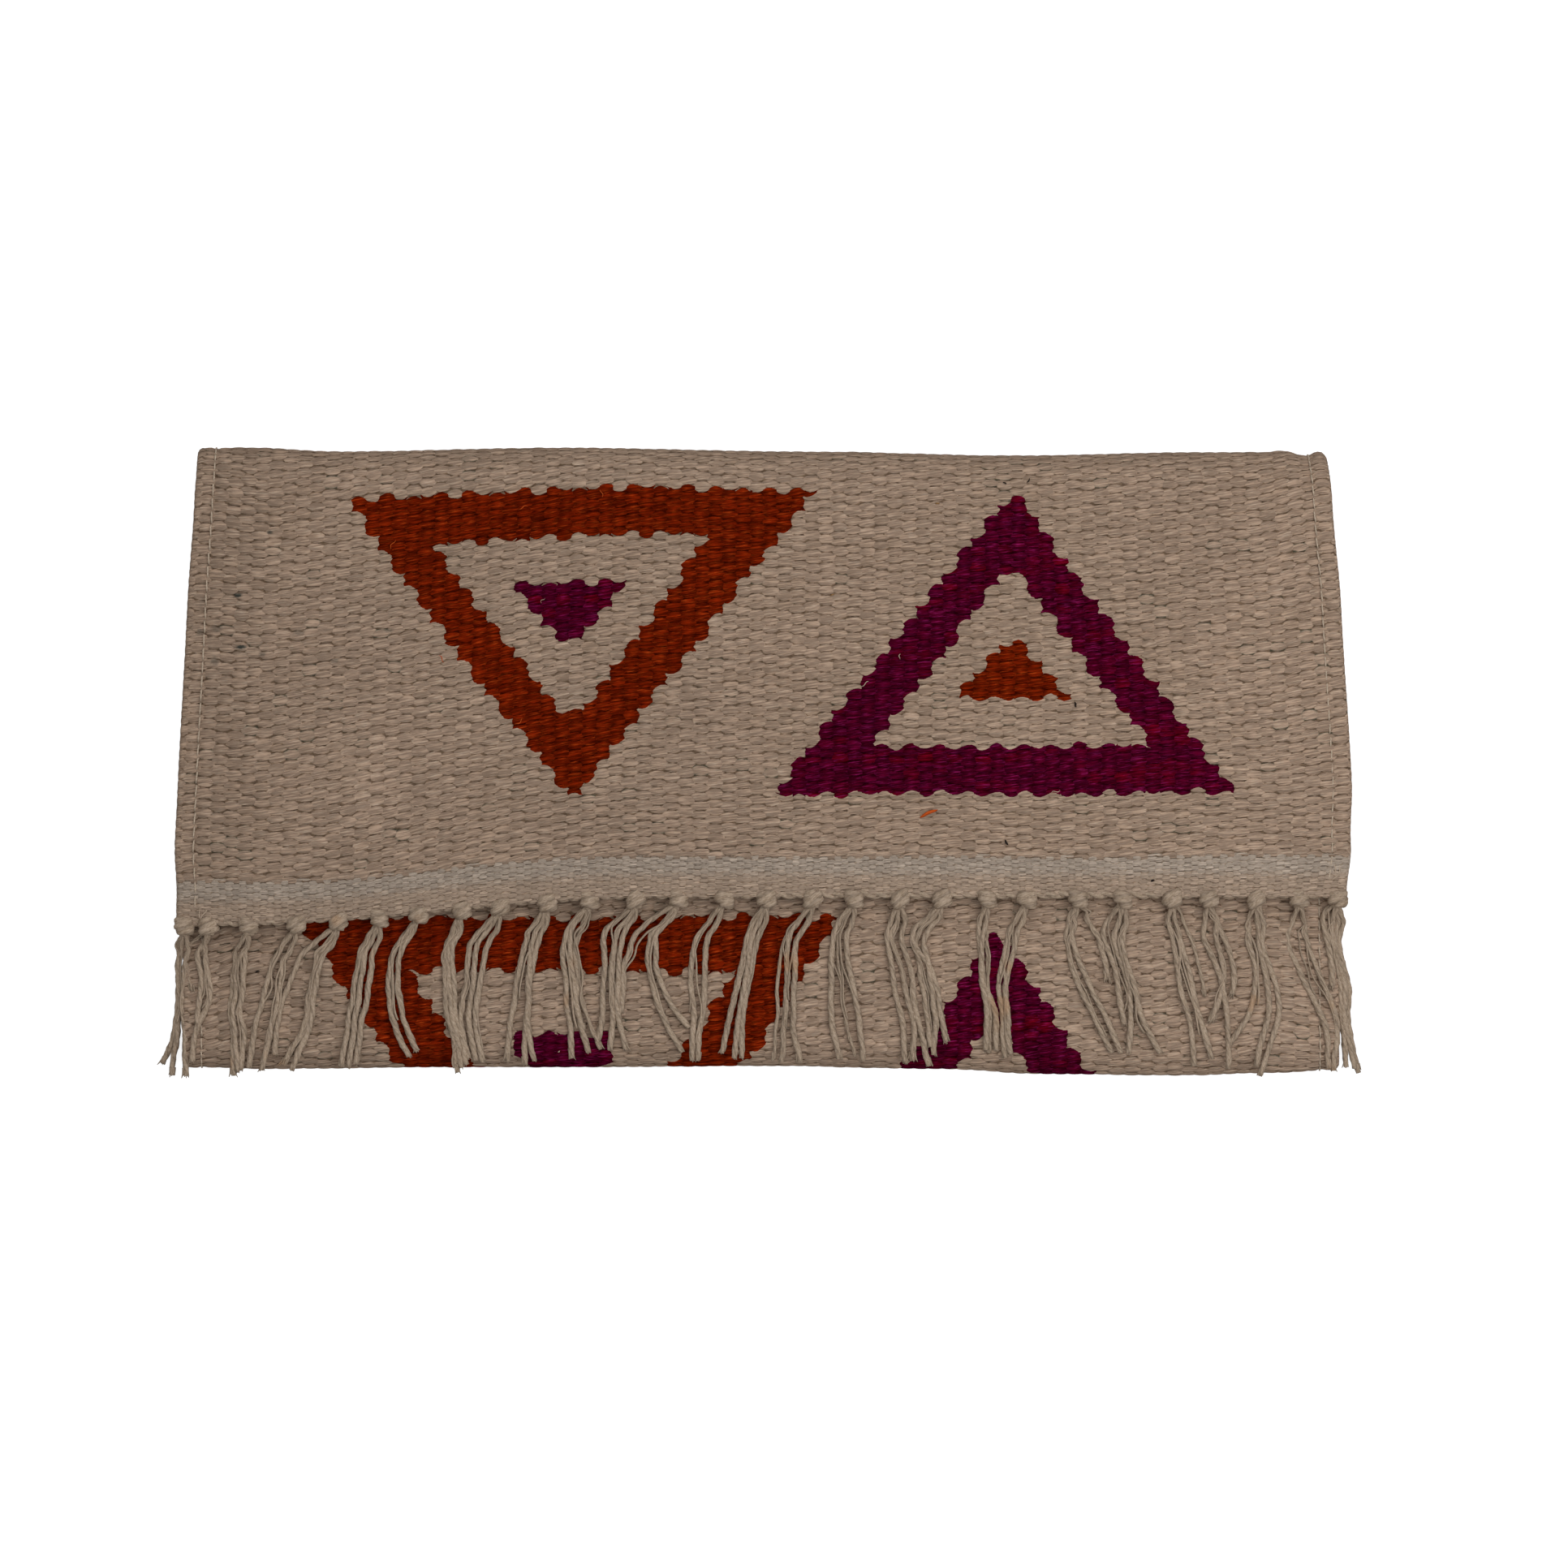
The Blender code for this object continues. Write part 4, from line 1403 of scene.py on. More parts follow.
# each knot's place across the flap's edge and its yarns, in the order that Hang takes them
KNOTTED_ROW = (
    (-138.3, (-1.9, -1.8, -2.6, -5.3, 32.2), (-2.0, -1.4, -2.2, -3.4, 35.0), (-0.2, -0.4, 0.0, 0.2, 35.1)),
    (-132.4, (-0.8, 0.1, -3.5, -4.0, 31.6), (-4.6, -5.4, -5.2, -4.4, 14.0, 0.6),
     (-2.8, -1.9, -2.4, -3.2, 22.5)),
    (-122.7, (-3.7, -4.3, -4.0, -3.7, 35.0), (-1.2, -1.9, -1.3, -2.2, 33.4), (-3.0, -3.5, -3.4, -2.9, 34.0)),
    (-111.3, (-5.5, -8.1, -10.0, -12.0, 33.4), (-4.4, -6.6, -8.8, -10.3, 25.0, 0.6),
     (-3.2, -4.4, -6.6, -8.7, 34.0)),
    (-101.2, (-9.3, -12.4, -15.2, -15.2, 31.0), (-5.3, -7.0, -9.0, -13.4, 33.5),
     (-4.6, -5.8, -7.8, -11.5, 34.7)),
    (-91.5, (-4.8, -6.3, -7.8, -9.1, 34.5), (-3.6, -4.9, -6.2, -7.4, 34.7), (-1.6, -2.9, -4.4, -5.8, 34.0)),
    (-82.1, (-6.2, -7.2, -5.6, -2.3, 33.1), (-4.3, -5.0, -3.4, 0.0, 31.8)),
    (-71.7, (-3.9, -3.9, -2.8, -0.6, 37.9), (-2.3, -1.8, -1.2, 1.4, 36.1), (-3.1, -2.9, -2.0, 0.4, 36.8)),
    (-62.5, (-7.3, -8.5, -9.4, -8.0, 35.3), (-5.8, -6.9, -7.5, -6.2, 35.9), (-3.5, -5.3, -5.8, -4.5, 36.4)),
    (-51.2, (-5.7, -7.5, -8.9, -9.7, 37.1), (-4.2, -4.5, -5.2, -5.2, 37.9), (-2.8, -4.0, -4.8, -2.9, 36.9)),
    (-41.1, (-6.1, -5.8, -4.9, -4.3, 36.9), (-4.7, -4.2, -3.4, -1.6, 30.0),
     (-3.1, -3.0, -2.6, -0.2, 35.5), (-3.3, -2.8, -0.8, 2.6, 34.8, 0.6)),
    (-29.9, (-7.9, -7.6, -8.2, -9.1, 33.0), (-5.2, -6.0, -5.8, -6.2, 35.3), (-3.6, -4.5, -4.6, -2.3, 35.3)),
    (-19.8, (-9.4, -12.4, -13.4, -14.0, 26.4), (-6.9, -6.8, -4.0, 1.2, 35.9), (-5.2, -5.4, -3.0, 2.4, 30.0)),
    (-8.9, (-6.8, -7.8, -7.4, -7.6, 37.9), (-4.1, -4.5, -5.6, -6.2, 37.9)),
    (1.2, (-4.6, -6.8, -8.5, -10.7, 36.1), (-3.6, -5.2, -6.4, -7.8, 37.3), (-2.2, -4.3, -5.5, -6.0, 37.3)),
    (12.4, (-6.0, -6.2, -6.8, -7.8, 38.3), (-7.0, -8.6, -8.6, -9.8, 38.0, 0.6),
     (-4.0, -4.7, -4.7, -3.1, 38.3)),
    (22.1, (-5.1, -5.6, -5.2, -3.7, 37.5), (-3.9, -3.2, -2.0, 0.0, 36.9, 0.6), (-1.8, -0.4, 1.3, 1.9, 37.9)),
    (33.2, (-3.1, -1.6, 0.4, 1.4, 38.5), (-1.8, 0.8, 3.2, 3.1, 37.9), (0.6, 3.0, 4.6, 7.0, 39.2)),
    (43.3, (-6.8, -2.6, -0.4, 1.0, 33.4), (-5.8, -5.4, -3.4, -2.9, 34.6), (-4.1, -3.0, -1.4, -2.3, 36.5)),
    (54.0, (-1.9, -0.6, 1.9, 2.1, 35.5), (-0.1, 0.3, 0.6, 0.4, 36.0, 0.7), (-1.4, -1.2, -0.2, -0.2, 35.3)),
    (63.5, (-4.9, -6.2, -6.0, -5.1, 37.1), (-2.7, -4.5, -4.9, -3.7, 36.3)),
    (75.7, (-2.6, -0.4, 3.9, 8.3, 36.0), (-1.2, 2.1, 6.6, 10.5, 36.0), (2.7, 5.2, 6.4, 7.2, 18.0)),
    (86.4, (-4.4, -2.0, -1.0, 0.6, 29.1), (-1.6, 0.8, 2.0, 1.6, 36.1), (0.4, 2.2, 4.4, 9.1, 36.1)),
    (98.3, (0.2, 2.1, 4.3, 5.2, 39.2), (2.0, 4.6, 6.8, 9.3, 37.5), (3.2, 5.4, 6.8, 7.6, 22.0, 0.6)),
    (107.1, (-0.6, 3.2, 4.5, 4.3, 39.8), (2.0, 4.8, 5.8, 5.4, 22.0), (1.6, 3.2, 3.0, 0.2, 28.5)),
    (118.5, (-1.9, 0.0, -1.6, -6.2, 34.0), (0.6, 2.7, 2.3, 0.0, 39.2), (1.6, 4.9, 4.6, 0.6, 41.5)),
    (128.8, (-2.6, 2.0, 6.4, 7.2, 39.8), (2.1, 6.4, 9.2, 8.4, 40.4)),
    (138.1, (-3.2, -2.1, -1.4, -1.0, 20.0), (-1.3, 0.6, 1.5, 2.2, 39.6),
     (-0.5, 1.8, 2.2, 4.5, 39.9), (0.4, 3.0, 3.1, 5.6, 41.0)),
)
FRINGE = tuple(
    Knot(across, tuple(Hang(*yarn) for yarn in yarns)) for across, *yarns in KNOTTED_ROW
)


@dataclass(frozen=True)
class Tassel:
    """One knot of the fringe and the yarns that hang from it, lying on the bag's front."""

    strip: Strip
    number: int
    knot: Knot
    drop: float = 0.4 * MM  # from the flap's edge to the knot's middle
    knot_height: float = 2.6 * MM  # of the knot's middle over the front
    knot_radius: float = 1.48 * MM
    wrap_radius: float = 1.06 * MM
    wrap_rise: float = 1.08 * MM
    wraps: float = 2.7
    wrap_stations: int = 44
    wrap_depth: float = 0.92  # height of a wrap, as a share of its width
    wrap_lay: float = 1.5  # turns of the wrap's plies take this many lays
    wrap_lobes: float = 0.10
    tilt: float = 24.0  # degrees by which a knot can tilt
    core_radius: float = 0.9 * MM
    core: tuple[tuple[float, float, float], ...] = (
        (0.9 * MM, 3.2 * MM, -1.0 * MM),
        (0.7 * MM, 1.2 * MM, -0.3 * MM),
        (0.4 * MM, -2.2 * MM, 0.0),
    )
    core_stations: int = 10
    core_twist: float = 900.0  # radians to a metre
    yarn_radius: float = 0.69 * MM
    spread: float = 0.75 * MM  # between yarns where they leave the knot
    early: float = 0.45  # share of the first quarter's reach that a yarn has at the knot
    falls: tuple[float, ...] = (0.0, 0.11, 0.25, 0.5, 0.75, 1.0)  # shares of the fall at its points
    start_below: float = 1.0 * MM
    start_under: float = 0.3 * MM
    landing: float = 0.26  # share of the fall after which a yarn lies on the front
    clearance: float = -0.18 * MM
    layer: float = 0.16 * MM  # how much higher each yarn lies than the one before it
    waviness: float = 0.25 * MM
    droop: float = 0.9
    stations: int = 46
    sides: int = 12
    lobes: int = 3
    lobe_depth: float = 0.17
    lay: float = 7.0 * MM  # length over which the yarn's plies turn once
    kink: float = 0.30 * MM  # how far a yarn waves from its smooth line
    kink_reach: float = 4.5 * MM
    fray: float = 1.3 * MM
    fray_fibres: int = 9
    fray_radii: tuple[float, ...] = (0.30 * MM, 0.27 * MM, 0.20 * MM, 0.08 * MM)
    filament: float = 0.26 * MM  # radius of a single fibre bundle that has come out of its yarn
    filaments: int = 3
    filament_kink: float = 0.75 * MM
    filament_rise: float = 0.55 * MM

    def resting(self, x: Array, y: Array) -> Array:
        """Height of what a yarn lies on: the front, or less and less past the bag's side.

        Args:
            x: place across the bag.
            y: place up the bag.

        Returns:
            The height at each place.
        """
        edge = self.strip.body_half_width(y)
        inside = np.minimum(np.abs(x) * self.strip.half_width / edge, self.strip.half_width)
        past = np.maximum(np.abs(x) - edge, 0)
        return np.maximum(self.strip.front_height(inside) - self.droop * past, 0)

    def centre(self) -> Array:
        """Middle of the knot."""
        across = self.knot.across * MM
        flat = np.array(across * self.strip.half_width / (self.strip.flap_width / 2))
        y = self.strip.flap_edge_y - float(self.strip.edge_hang(flat)) - self.drop
        z = float(self.strip.front_height(flat)) + self.strip.clearance + self.knot_height
        return np.array([across, y, z])

    def yarn_path(self, hang: Hang, index: int, heart: Array) -> Array:
        """The line of one yarn: a smooth curve through its quarters, come down on the front.

        Args:
            hang: the yarn.
            index: its number in its tassel.
            heart: middle of the knot.

        Returns:
            Points along the yarn's middle.
        """
        aside = (index - (len(self.knot.yarns) - 1) / 2) * self.spread
        quarters = np.array([hang.quarter, hang.half, hang.three, hang.end]) * MM
        offsets = np.concatenate([[0.0, self.early * quarters[0] + aside], quarters])
        falls = np.array(self.falls) * hang.fall * MM
        y = heart[1] - self.start_below - falls
        path = through(np.stack([heart[0] + offsets, y, 0 * falls], axis=-1), self.stations)
        share = np.linspace(0, 1, self.stations)
        down = share * hang.fall * MM
        wave = ripple(down, np.full_like(down, index * MM), self.kink_reach, 60 + self.number)
        path[:, 0] += self.kink * np.clip(share / 0.2, 0, 1) * wave
        bottom = self.clearance + self.yarn_radius * hang.thin + self.layer * index
        rest = self.resting(path[:, 0], path[:, 1]) + bottom
        rest = rest + self.waviness * ripple(share, np.full_like(share, index), 0.5, self.number)
        landed = np.clip(share / self.landing, 0, 1)
        start = heart[2] - self.start_under
        path[:, 2] = start + (rest - start) * landed**2 * (3 - 2 * landed)
        return path

    def add_yarn(
        self, skin: Skin, hang: Hang, index: int, heart: Array, draw: np.random.Generator
    ) -> None:
        """Adds one yarn and the fibres that its cut end has come apart into.

        Args:
            skin: the mesh that it is added to.
            hang: the yarn.
            index: its number in its tassel.
            heart: middle of the knot.
            draw: the tassel's random numbers.
        """
        path = self.yarn_path(hang, index, heart)
        share = np.linspace(0, 1, self.stations)
        uneven = 1 + 0.08 * ripple(share, 0 * share, 0.12, self.number * 7 + index)
        taper = eased(share, (0, 0.93, 1), (0.92, 1.05, 0.85))
        radius = self.yarn_radius * hang.thin * uneven * taper
        twist = 2 * math.pi / (self.lay * self.lobes / 2)
        phase = float(draw.uniform(0, 6))
        skin.add(*tube(path, radius, self.sides, OUT, self.lobes, self.lobe_depth, twist, phase))
        tail = path[-1] - path[-4]
        tail /= np.linalg.norm(tail)
        for _ in range(self.fray_fibres):
            lean = np.array([draw.normal(0, 0.36), 0, draw.normal(0, 0.10)])
            reach = self.fray * draw.uniform(0.35, 1.0) * hang.thin
            start = path[-3] + np.array([draw.normal(0, 0.30), 0, draw.normal(0, 0.22)]) * MM
            steps = np.linspace(0, 1, len(self.fray_radii))[:, None]
            fibre = start + steps * (tail * (reach + 1.2 * MM)) + steps**2 * lean * reach
            fibre[:, 2] = np.maximum(fibre[:, 2], self.resting(fibre[:, 0], fibre[:, 1]) + 0.1 * MM)
            thick = np.array(self.fray_radii) * draw.uniform(0.8, 1.2)
            skin.add(*tube(fibre, thick, 4, OUT, phase=float(draw.uniform(0, 6))))

    def add_filaments(self, skin: Skin, heart: Array, draw: np.random.Generator) -> None:
        """Adds the thin bundles that have come out of the yarns and wander beside them.

        Args:
            skin: the mesh that they are added to.
            heart: middle of the knot.
            draw: the tassel's random numbers.
        """
        paths = [self.yarn_path(hang, i, heart) for i, hang in enumerate(self.knot.yarns)]
        share = np.linspace(0, 1, self.stations)
        for _ in range(self.filaments):
            first, second = (paths[i] for i in draw.integers(0, len(paths), 2))
            blend = eased(share, (0.1, draw.uniform(0.5, 0.9)), (0.0, draw.uniform(0.0, 1.0)))
            path = first + (second - first) * blend[:, None]
            wave = ripple(share, 0 * share, 0.16, int(draw.integers(1, 9999)))
            path[:, 0] += self.filament_kink * wave * np.clip(share / 0.25, 0, 1)
            path[:, 2] += self.filament_rise * np.clip(share / 0.1, 0, 1)
            path = path[4 : int(self.stations * draw.uniform(0.62, 1.0))]
            thick = np.full(len(path), self.filament) * draw.uniform(0.7, 1.15)
            skin.add(*tube(path, thick, 5, OUT, phase=float(draw.uniform(0, 6))))

    def add_knot(self, skin: Skin, heart: Array, draw: np.random.Generator) -> None:
        """Adds the knot: a yarn wound round the rest, with its ends drawn into the middle.

        Args:
            skin: the mesh that it is added to.
            heart: middle of the knot.
            draw: the tassel's random numbers.
        """
        t = np.linspace(0, 1, self.wrap_stations)
        angle = 2 * math.pi * self.wraps * t + draw.uniform(0, 6)
        tuck = np.clip(np.minimum(t, 1 - t) / 0.10, 0, 1) ** 0.5
        ring = self.knot_radius * tuck * (1 + 0.06 * np.sin(3 * angle))
        tilt = math.radians(draw.uniform(-self.tilt, self.tilt))
        x = ring * np.cos(angle)
        y = self.wrap_rise * self.wraps * (0.5 - t) + x * math.sin(tilt)
        z = self.wrap_depth * ring * np.sin(angle)
        path = heart + np.stack([x * math.cos(tilt), y, z], axis=-1)
        radius = self.wrap_radius * (0.8 + 0.2 * tuck) * draw.uniform(0.94, 1.06)
        twist = 2 * math.pi / (self.lay * self.wrap_lay)
        phase = float(draw.uniform(0, 6))
        wrap = tube(path, radius, self.sides, (0, 1, 0), self.lobes, self.wrap_lobes, twist, phase)
        skin.add(*wrap)
        thick = np.full(self.core_stations, self.core_radius)
        for side in (-1, 1):
            path = through(heart + np.array(self.core) * (side, 1, 1), self.core_stations)
            core = tube(path, thick, 10, OUT, self.lobes, self.wrap_lobes, self.core_twist, side)
            skin.add(*core)

    def build(self, material: Material) -> Object:
        """Makes the tassel as one piece, which stands for its plain solid.

        Args:
            material: the fringe's yarn.

        Returns:
            The tassel's object.
        """
        draw = np.random.default_rng(100 + self.number)
        heart = self.centre()
        skin = Skin(YARN)
        self.add_knot(skin, heart, draw)
        for index, hang in enumerate(self.knot.yarns):
            self.add_yarn(skin, hang, index, heart, draw)
        self.add_filaments(skin, heart, draw)
        made = skin.piece(f"knotted_tassel_{self.number:02d}", material)
        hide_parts(f"tassel_{self.number:02d}")
        return made


@dataclass(frozen=True)
class HemCord:
    """The last pick, two thick plies twined along the fringed edge and sagging between the knots."""

    strip: Strip
    ply_radius: float = 0.60 * MM
    apart: float = 0.45 * MM
    lay: float = 6.6 * MM
    ply_lay: float = 9.0 * MM  # length over which a ply's own strands turn once
    inset: float = 1.2 * MM
    from_edge: float = 0.75 * MM
    depth: float = 1.15 * MM  # under the cloth's outer face
    stations: int = 460
    sides: int = 10
    sag: float = 0.55 * MM
    raised: float = 0.25 * MM
    taper: float = 3.0 * MM

    def build(self, material: Material) -> Object:
        """Makes both plies as one piece: two lines turning round each other half a turn apart.

        Args:
            material: the fringe's yarn.

        Returns:
            The cord's object.
        """
        skin = Skin(YARN)
        half = self.strip.half_width - self.inset
        x = np.linspace(-half, half, self.stations)
        knots = np.array([knot.across for knot in FRINGE]) * MM * half / (self.strip.flap_width / 2)
        place = np.interp(x, knots, np.arange(len(knots)))
        hang = self.sag * np.sin(np.pi * np.mod(place, 1.0)) - self.raised
        ends = eased(x, (-half, self.taper - half, half - self.taper, half), (0.5, 1, 1, 0.5))
        twist = 2 * math.pi / self.ply_lay
        for ply in (0, 1):
            turn = 2 * np.pi * x / self.lay + np.pi * ply
            s = self.from_edge - hang + self.apart * np.cos(turn)
            path = self.strip.place(x, s, self.apart * np.sin(turn) - self.depth)
            radius = self.ply_radius * ends * (1 + 0.08 * ripple(x, 0 * x, 4 * MM, 3 + ply))
            skin.add(*tube(path, radius, self.sides, OUT, 3, 0.07, twist, ply))
        made = skin.piece("hem_cord", material)
        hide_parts("woven_cloth")
        return made


@dataclass(frozen=True)
class Topstitching:
    """A line of thread stitches down one long edge, each dipping into the cloth at its ends."""

    strip: Strip
    name: str
    node: str
    side: int
    inset: float = 4.5 * MM
    pitch: float = 3.1 * MM
    stitch: float = 2.7 * MM
    thread: float = 0.20 * MM
    twist: float = 5000.0  # radians to a metre
    lift: float = -0.13 * MM
    dip: float = 0.55 * MM
    ends: float = 4.0 * MM  # left free at each end of the strip
    slant: float = 0.12 * MM
    slant_reach: float = 17.0 * MM

    def build(self, material: Material) -> Object:
        """Makes the stitches as one piece: short tubes whose ends follow a parabola down.

        Args:
            material: the sewing thread.

        Returns:
            The line's object.
        """
        skin = Skin(YARN)
        t = np.linspace(-1, 1, 7)
        for start in np.arange(self.ends, self.strip.turns[-1] - self.ends, self.pitch):
            s = start + self.stitch * (t + 1) / 2
            x = self.side * (self.strip.half_width - self.inset) + 0 * t
            x = x + self.slant * np.sin(start / self.slant_reach) * t
            path = self.strip.place(x, s, self.lift - self.dip * t**4)
            radius = np.full(len(t), self.thread)
            skin.add(*tube(path, radius, 6, (1, 0, 0), 2, 0.1, self.twist, start))
        made = skin.piece(self.name, material)
        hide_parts(self.node)
        return made


@dataclass(frozen=True)
class Lining:
    """The thin lining that covers the strip's inner face."""

    strip: Strip
    hem: float = 12.0 * MM
    step: float = 3.0 * MM
    margin: float = 2.7 * MM
    columns: int = 70
    rows: int = 190

    def build(self, material: Material) -> Object:
        """Makes the lining as a thin closed sheet on the folded strip, 0.4 mm thick.

        Args:
            material: the lining's cotton.

        Returns:
            The lining's object.
        """
        half = self.strip.half_width - self.margin
        across = np.linspace(-half, half, self.columns)
        outer = -self.strip.thickness - self.strip.clearance
        n = np.repeat([outer, outer - self.strip.lining], self.columns)
        s = np.linspace(self.hem, self.strip.turns[-1] - self.step, self.rows)[:, None]
        x, s, n = np.broadcast_arrays(np.concatenate([across, across[::-1]]), s, n)
        points = self.strip.place(x, s, n)
        skin = Skin(LATTICE)
        skin.add(points, points)
        made = skin.piece("lining_sheet", material)
        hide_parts("lining")
        return made


@dataclass(frozen=True)
class SideSeam:
    """The sewn edge that closes one side of the pocket: turned-in cloth between the two walls."""

    strip: Strip
    name: str
    side: int
    inset: float = 2.3 * MM
    width: float = 1.3 * MM
    overlap: float = 0.4 * MM  # into each wall
    below_mouth: float = 1.0 * MM
    wobble: float = 0.12 * MM
    wobble_reach: float = 1.3 * MM
    lay: float = 4.0 * MM
    stations: int = 150
    sides: int = 16

    def build(self, material: Material) -> Object:
        """Makes the seam: an oval section carried up the side, from the bottom fold to the mouth.

        Args:
            material: the yarn that it shows.

        Returns:
            The seam's object.
        """
        low = -self.strip.top_y + self.strip.thickness
        y = np.linspace(low, self.strip.mouth_y - self.below_mouth, self.stations)[:, None]
        wave = self.wobble * np.sin(y / self.wobble_reach)
        x = self.strip.body_half_width(y) - self.inset + wave
        height = float(self.strip.front_height(np.array(self.strip.half_width)))
        angle = np.linspace(0, 2 * np.pi, self.sides, endpoint=False)
        reach = (height - 2 * self.strip.thickness) / 2 + self.overlap
        x = self.side * (x + self.width * np.cos(angle))
        rings = np.stack(np.broadcast_arrays(x, y, height / 2 + reach * np.sin(angle)), axis=-1)
        turn = angle - 2 * np.pi * y / self.lay
        turned = np.broadcast_arrays(np.cos(turn), np.sin(turn), y / MM)
        skin = Skin(YARN)
        skin.add(rings, np.stack(turned, axis=-1))
        made = skin.piece(self.name, material)
        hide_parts("woven_cloth")
        return made


@dataclass(frozen=True)
class LooseFibre:
    """A stray fibre caught in the cloth: its place on the bag, size and direction."""

    x: float
    y: float
    length: float
    angle: float
    thickness: float


STRAYS = {
    "orange": (
        LooseFibre(40.0, -13.0, 4.7, 24.0, 0.40),
        LooseFibre(-88.2, 51.4, 2.6, 66.0, 0.10),
        LooseFibre(-76.5, 24.0, 2.2, 130.0, 0.10),
        LooseFibre(-58.0, 8.8, 2.4, 40.0, 0.10),
        LooseFibre(-38.2, 63.5, 2.0, 100.0, 0.10),
        LooseFibre(-57.0, 60.2, 2.4, 12.0, 0.10),
    ),
    "dark": (
        LooseFibre(58.6, -20.0, 1.5, 120.0, 0.26),
        LooseFibre(93.6, -29.1, 0.9, 30.0, 0.26),
        LooseFibre(75.1, 13.0, 1.4, 105.0, 0.24),
        LooseFibre(63.9, 66.6, 1.3, 60.0, 0.16),
        LooseFibre(58.2, 66.0, 1.0, 150.0, 0.18),
        LooseFibre(-120.8, -50.9, 1.0, 10.0, 0.20),
    ),
    "tan": (
        LooseFibre(16.9, 39.2, 1.0, 20.0, 0.18),
        LooseFibre(42.1, 61.1, 1.2, 15.0, 0.18),
    ),
    "pale": (
        LooseFibre(-134.2, -37.8, 5.0, 108.0, 0.14),
        LooseFibre(-133.6, -37.4, 4.6, 72.0, 0.14),
        LooseFibre(137.4, -26.6, 4.6, 115.0, 0.13),
        LooseFibre(137.9, -27.4, 5.2, 64.0, 0.13),
        LooseFibre(-48.5, -70.1, 0.6, 30.0, 0.14),
        LooseFibre(24.9, 18.0, 2.6, 24.0, 0.10),
        LooseFibre(33.1, 24.6, 1.6, 80.0, 0.09),
        LooseFibre(-52.4, 37.9, 1.5, 60.0, 0.06),
        LooseFibre(70.4, -7.8, 2.2, 20.0, 0.09),
    ),
}


@dataclass(frozen=True)
class Strays:
    """All stray fibres of one colour, as one piece."""

    strip: Strip
    colour: str
    stations: int = 9
    bow: float = 0.012  # bend of a fibre, which grows as it gets longer and thinner
    raised: float = 0.25 * MM
    dip: float = 1.6 * MM

    def surface(self, x: float, y: float) -> float:
        """Height of the bag's upper face at a place."""
        flat = np.array(x * self.strip.half_width / (self.strip.flap_width / 2))
        on_flap = y > self.strip.flap_edge_y - float(self.strip.edge_hang(flat))
        return float(self.strip.flap_height(flat) if on_flap else self.strip.front_height(flat))

    def build(self, material: Material) -> Object:
        """Makes the fibres as short bowed tubes whose ends dip into the cloth.

        Args:
            material: the fibres' wool.

        Returns:
            The new piece.
        """
        skin = Skin(YARN)
        t = np.linspace(-0.5, 0.5, self.stations)
        for index, stray in enumerate(STRAYS[self.colour]):
            angle = math.radians(stray.angle)
            bow = self.bow * stray.length / stray.thickness * np.cos(6 * t + index)
            x = stray.x + stray.length * t * math.cos(angle) - bow * math.sin(angle)
            y = stray.y + stray.length * t * math.sin(angle) + bow * math.cos(angle)
            z = self.surface(stray.x * MM, stray.y * MM) + self.raised - self.dip * t**2
            path = np.stack([x * MM, y * MM, z], axis=-1)
            skin.add(*tube(path, stray.thickness * MM * np.sqrt(1.02 - 4 * t**2), 6, OUT))
        piece = skin.piece(f"stray_fibres_{self.colour}", material)
        return piece


@dataclass(frozen=True)
class Lamp:
    """A soft square lamp that faces the bag's middle."""

    name: str
    place: tuple[float, float, float]
    size: float
    power: float

    def build(self) -> None:
        """Adds the lamp to the scene."""
        data = bpy.data.lights.new(self.name, "AREA")
        data.size = self.size
        data.energy = self.power
        made = linked(self.name, data)
        made.location = self.place
        made.rotation_euler = (-Vector(self.place)).to_track_quat("-Z", "Y").to_euler()


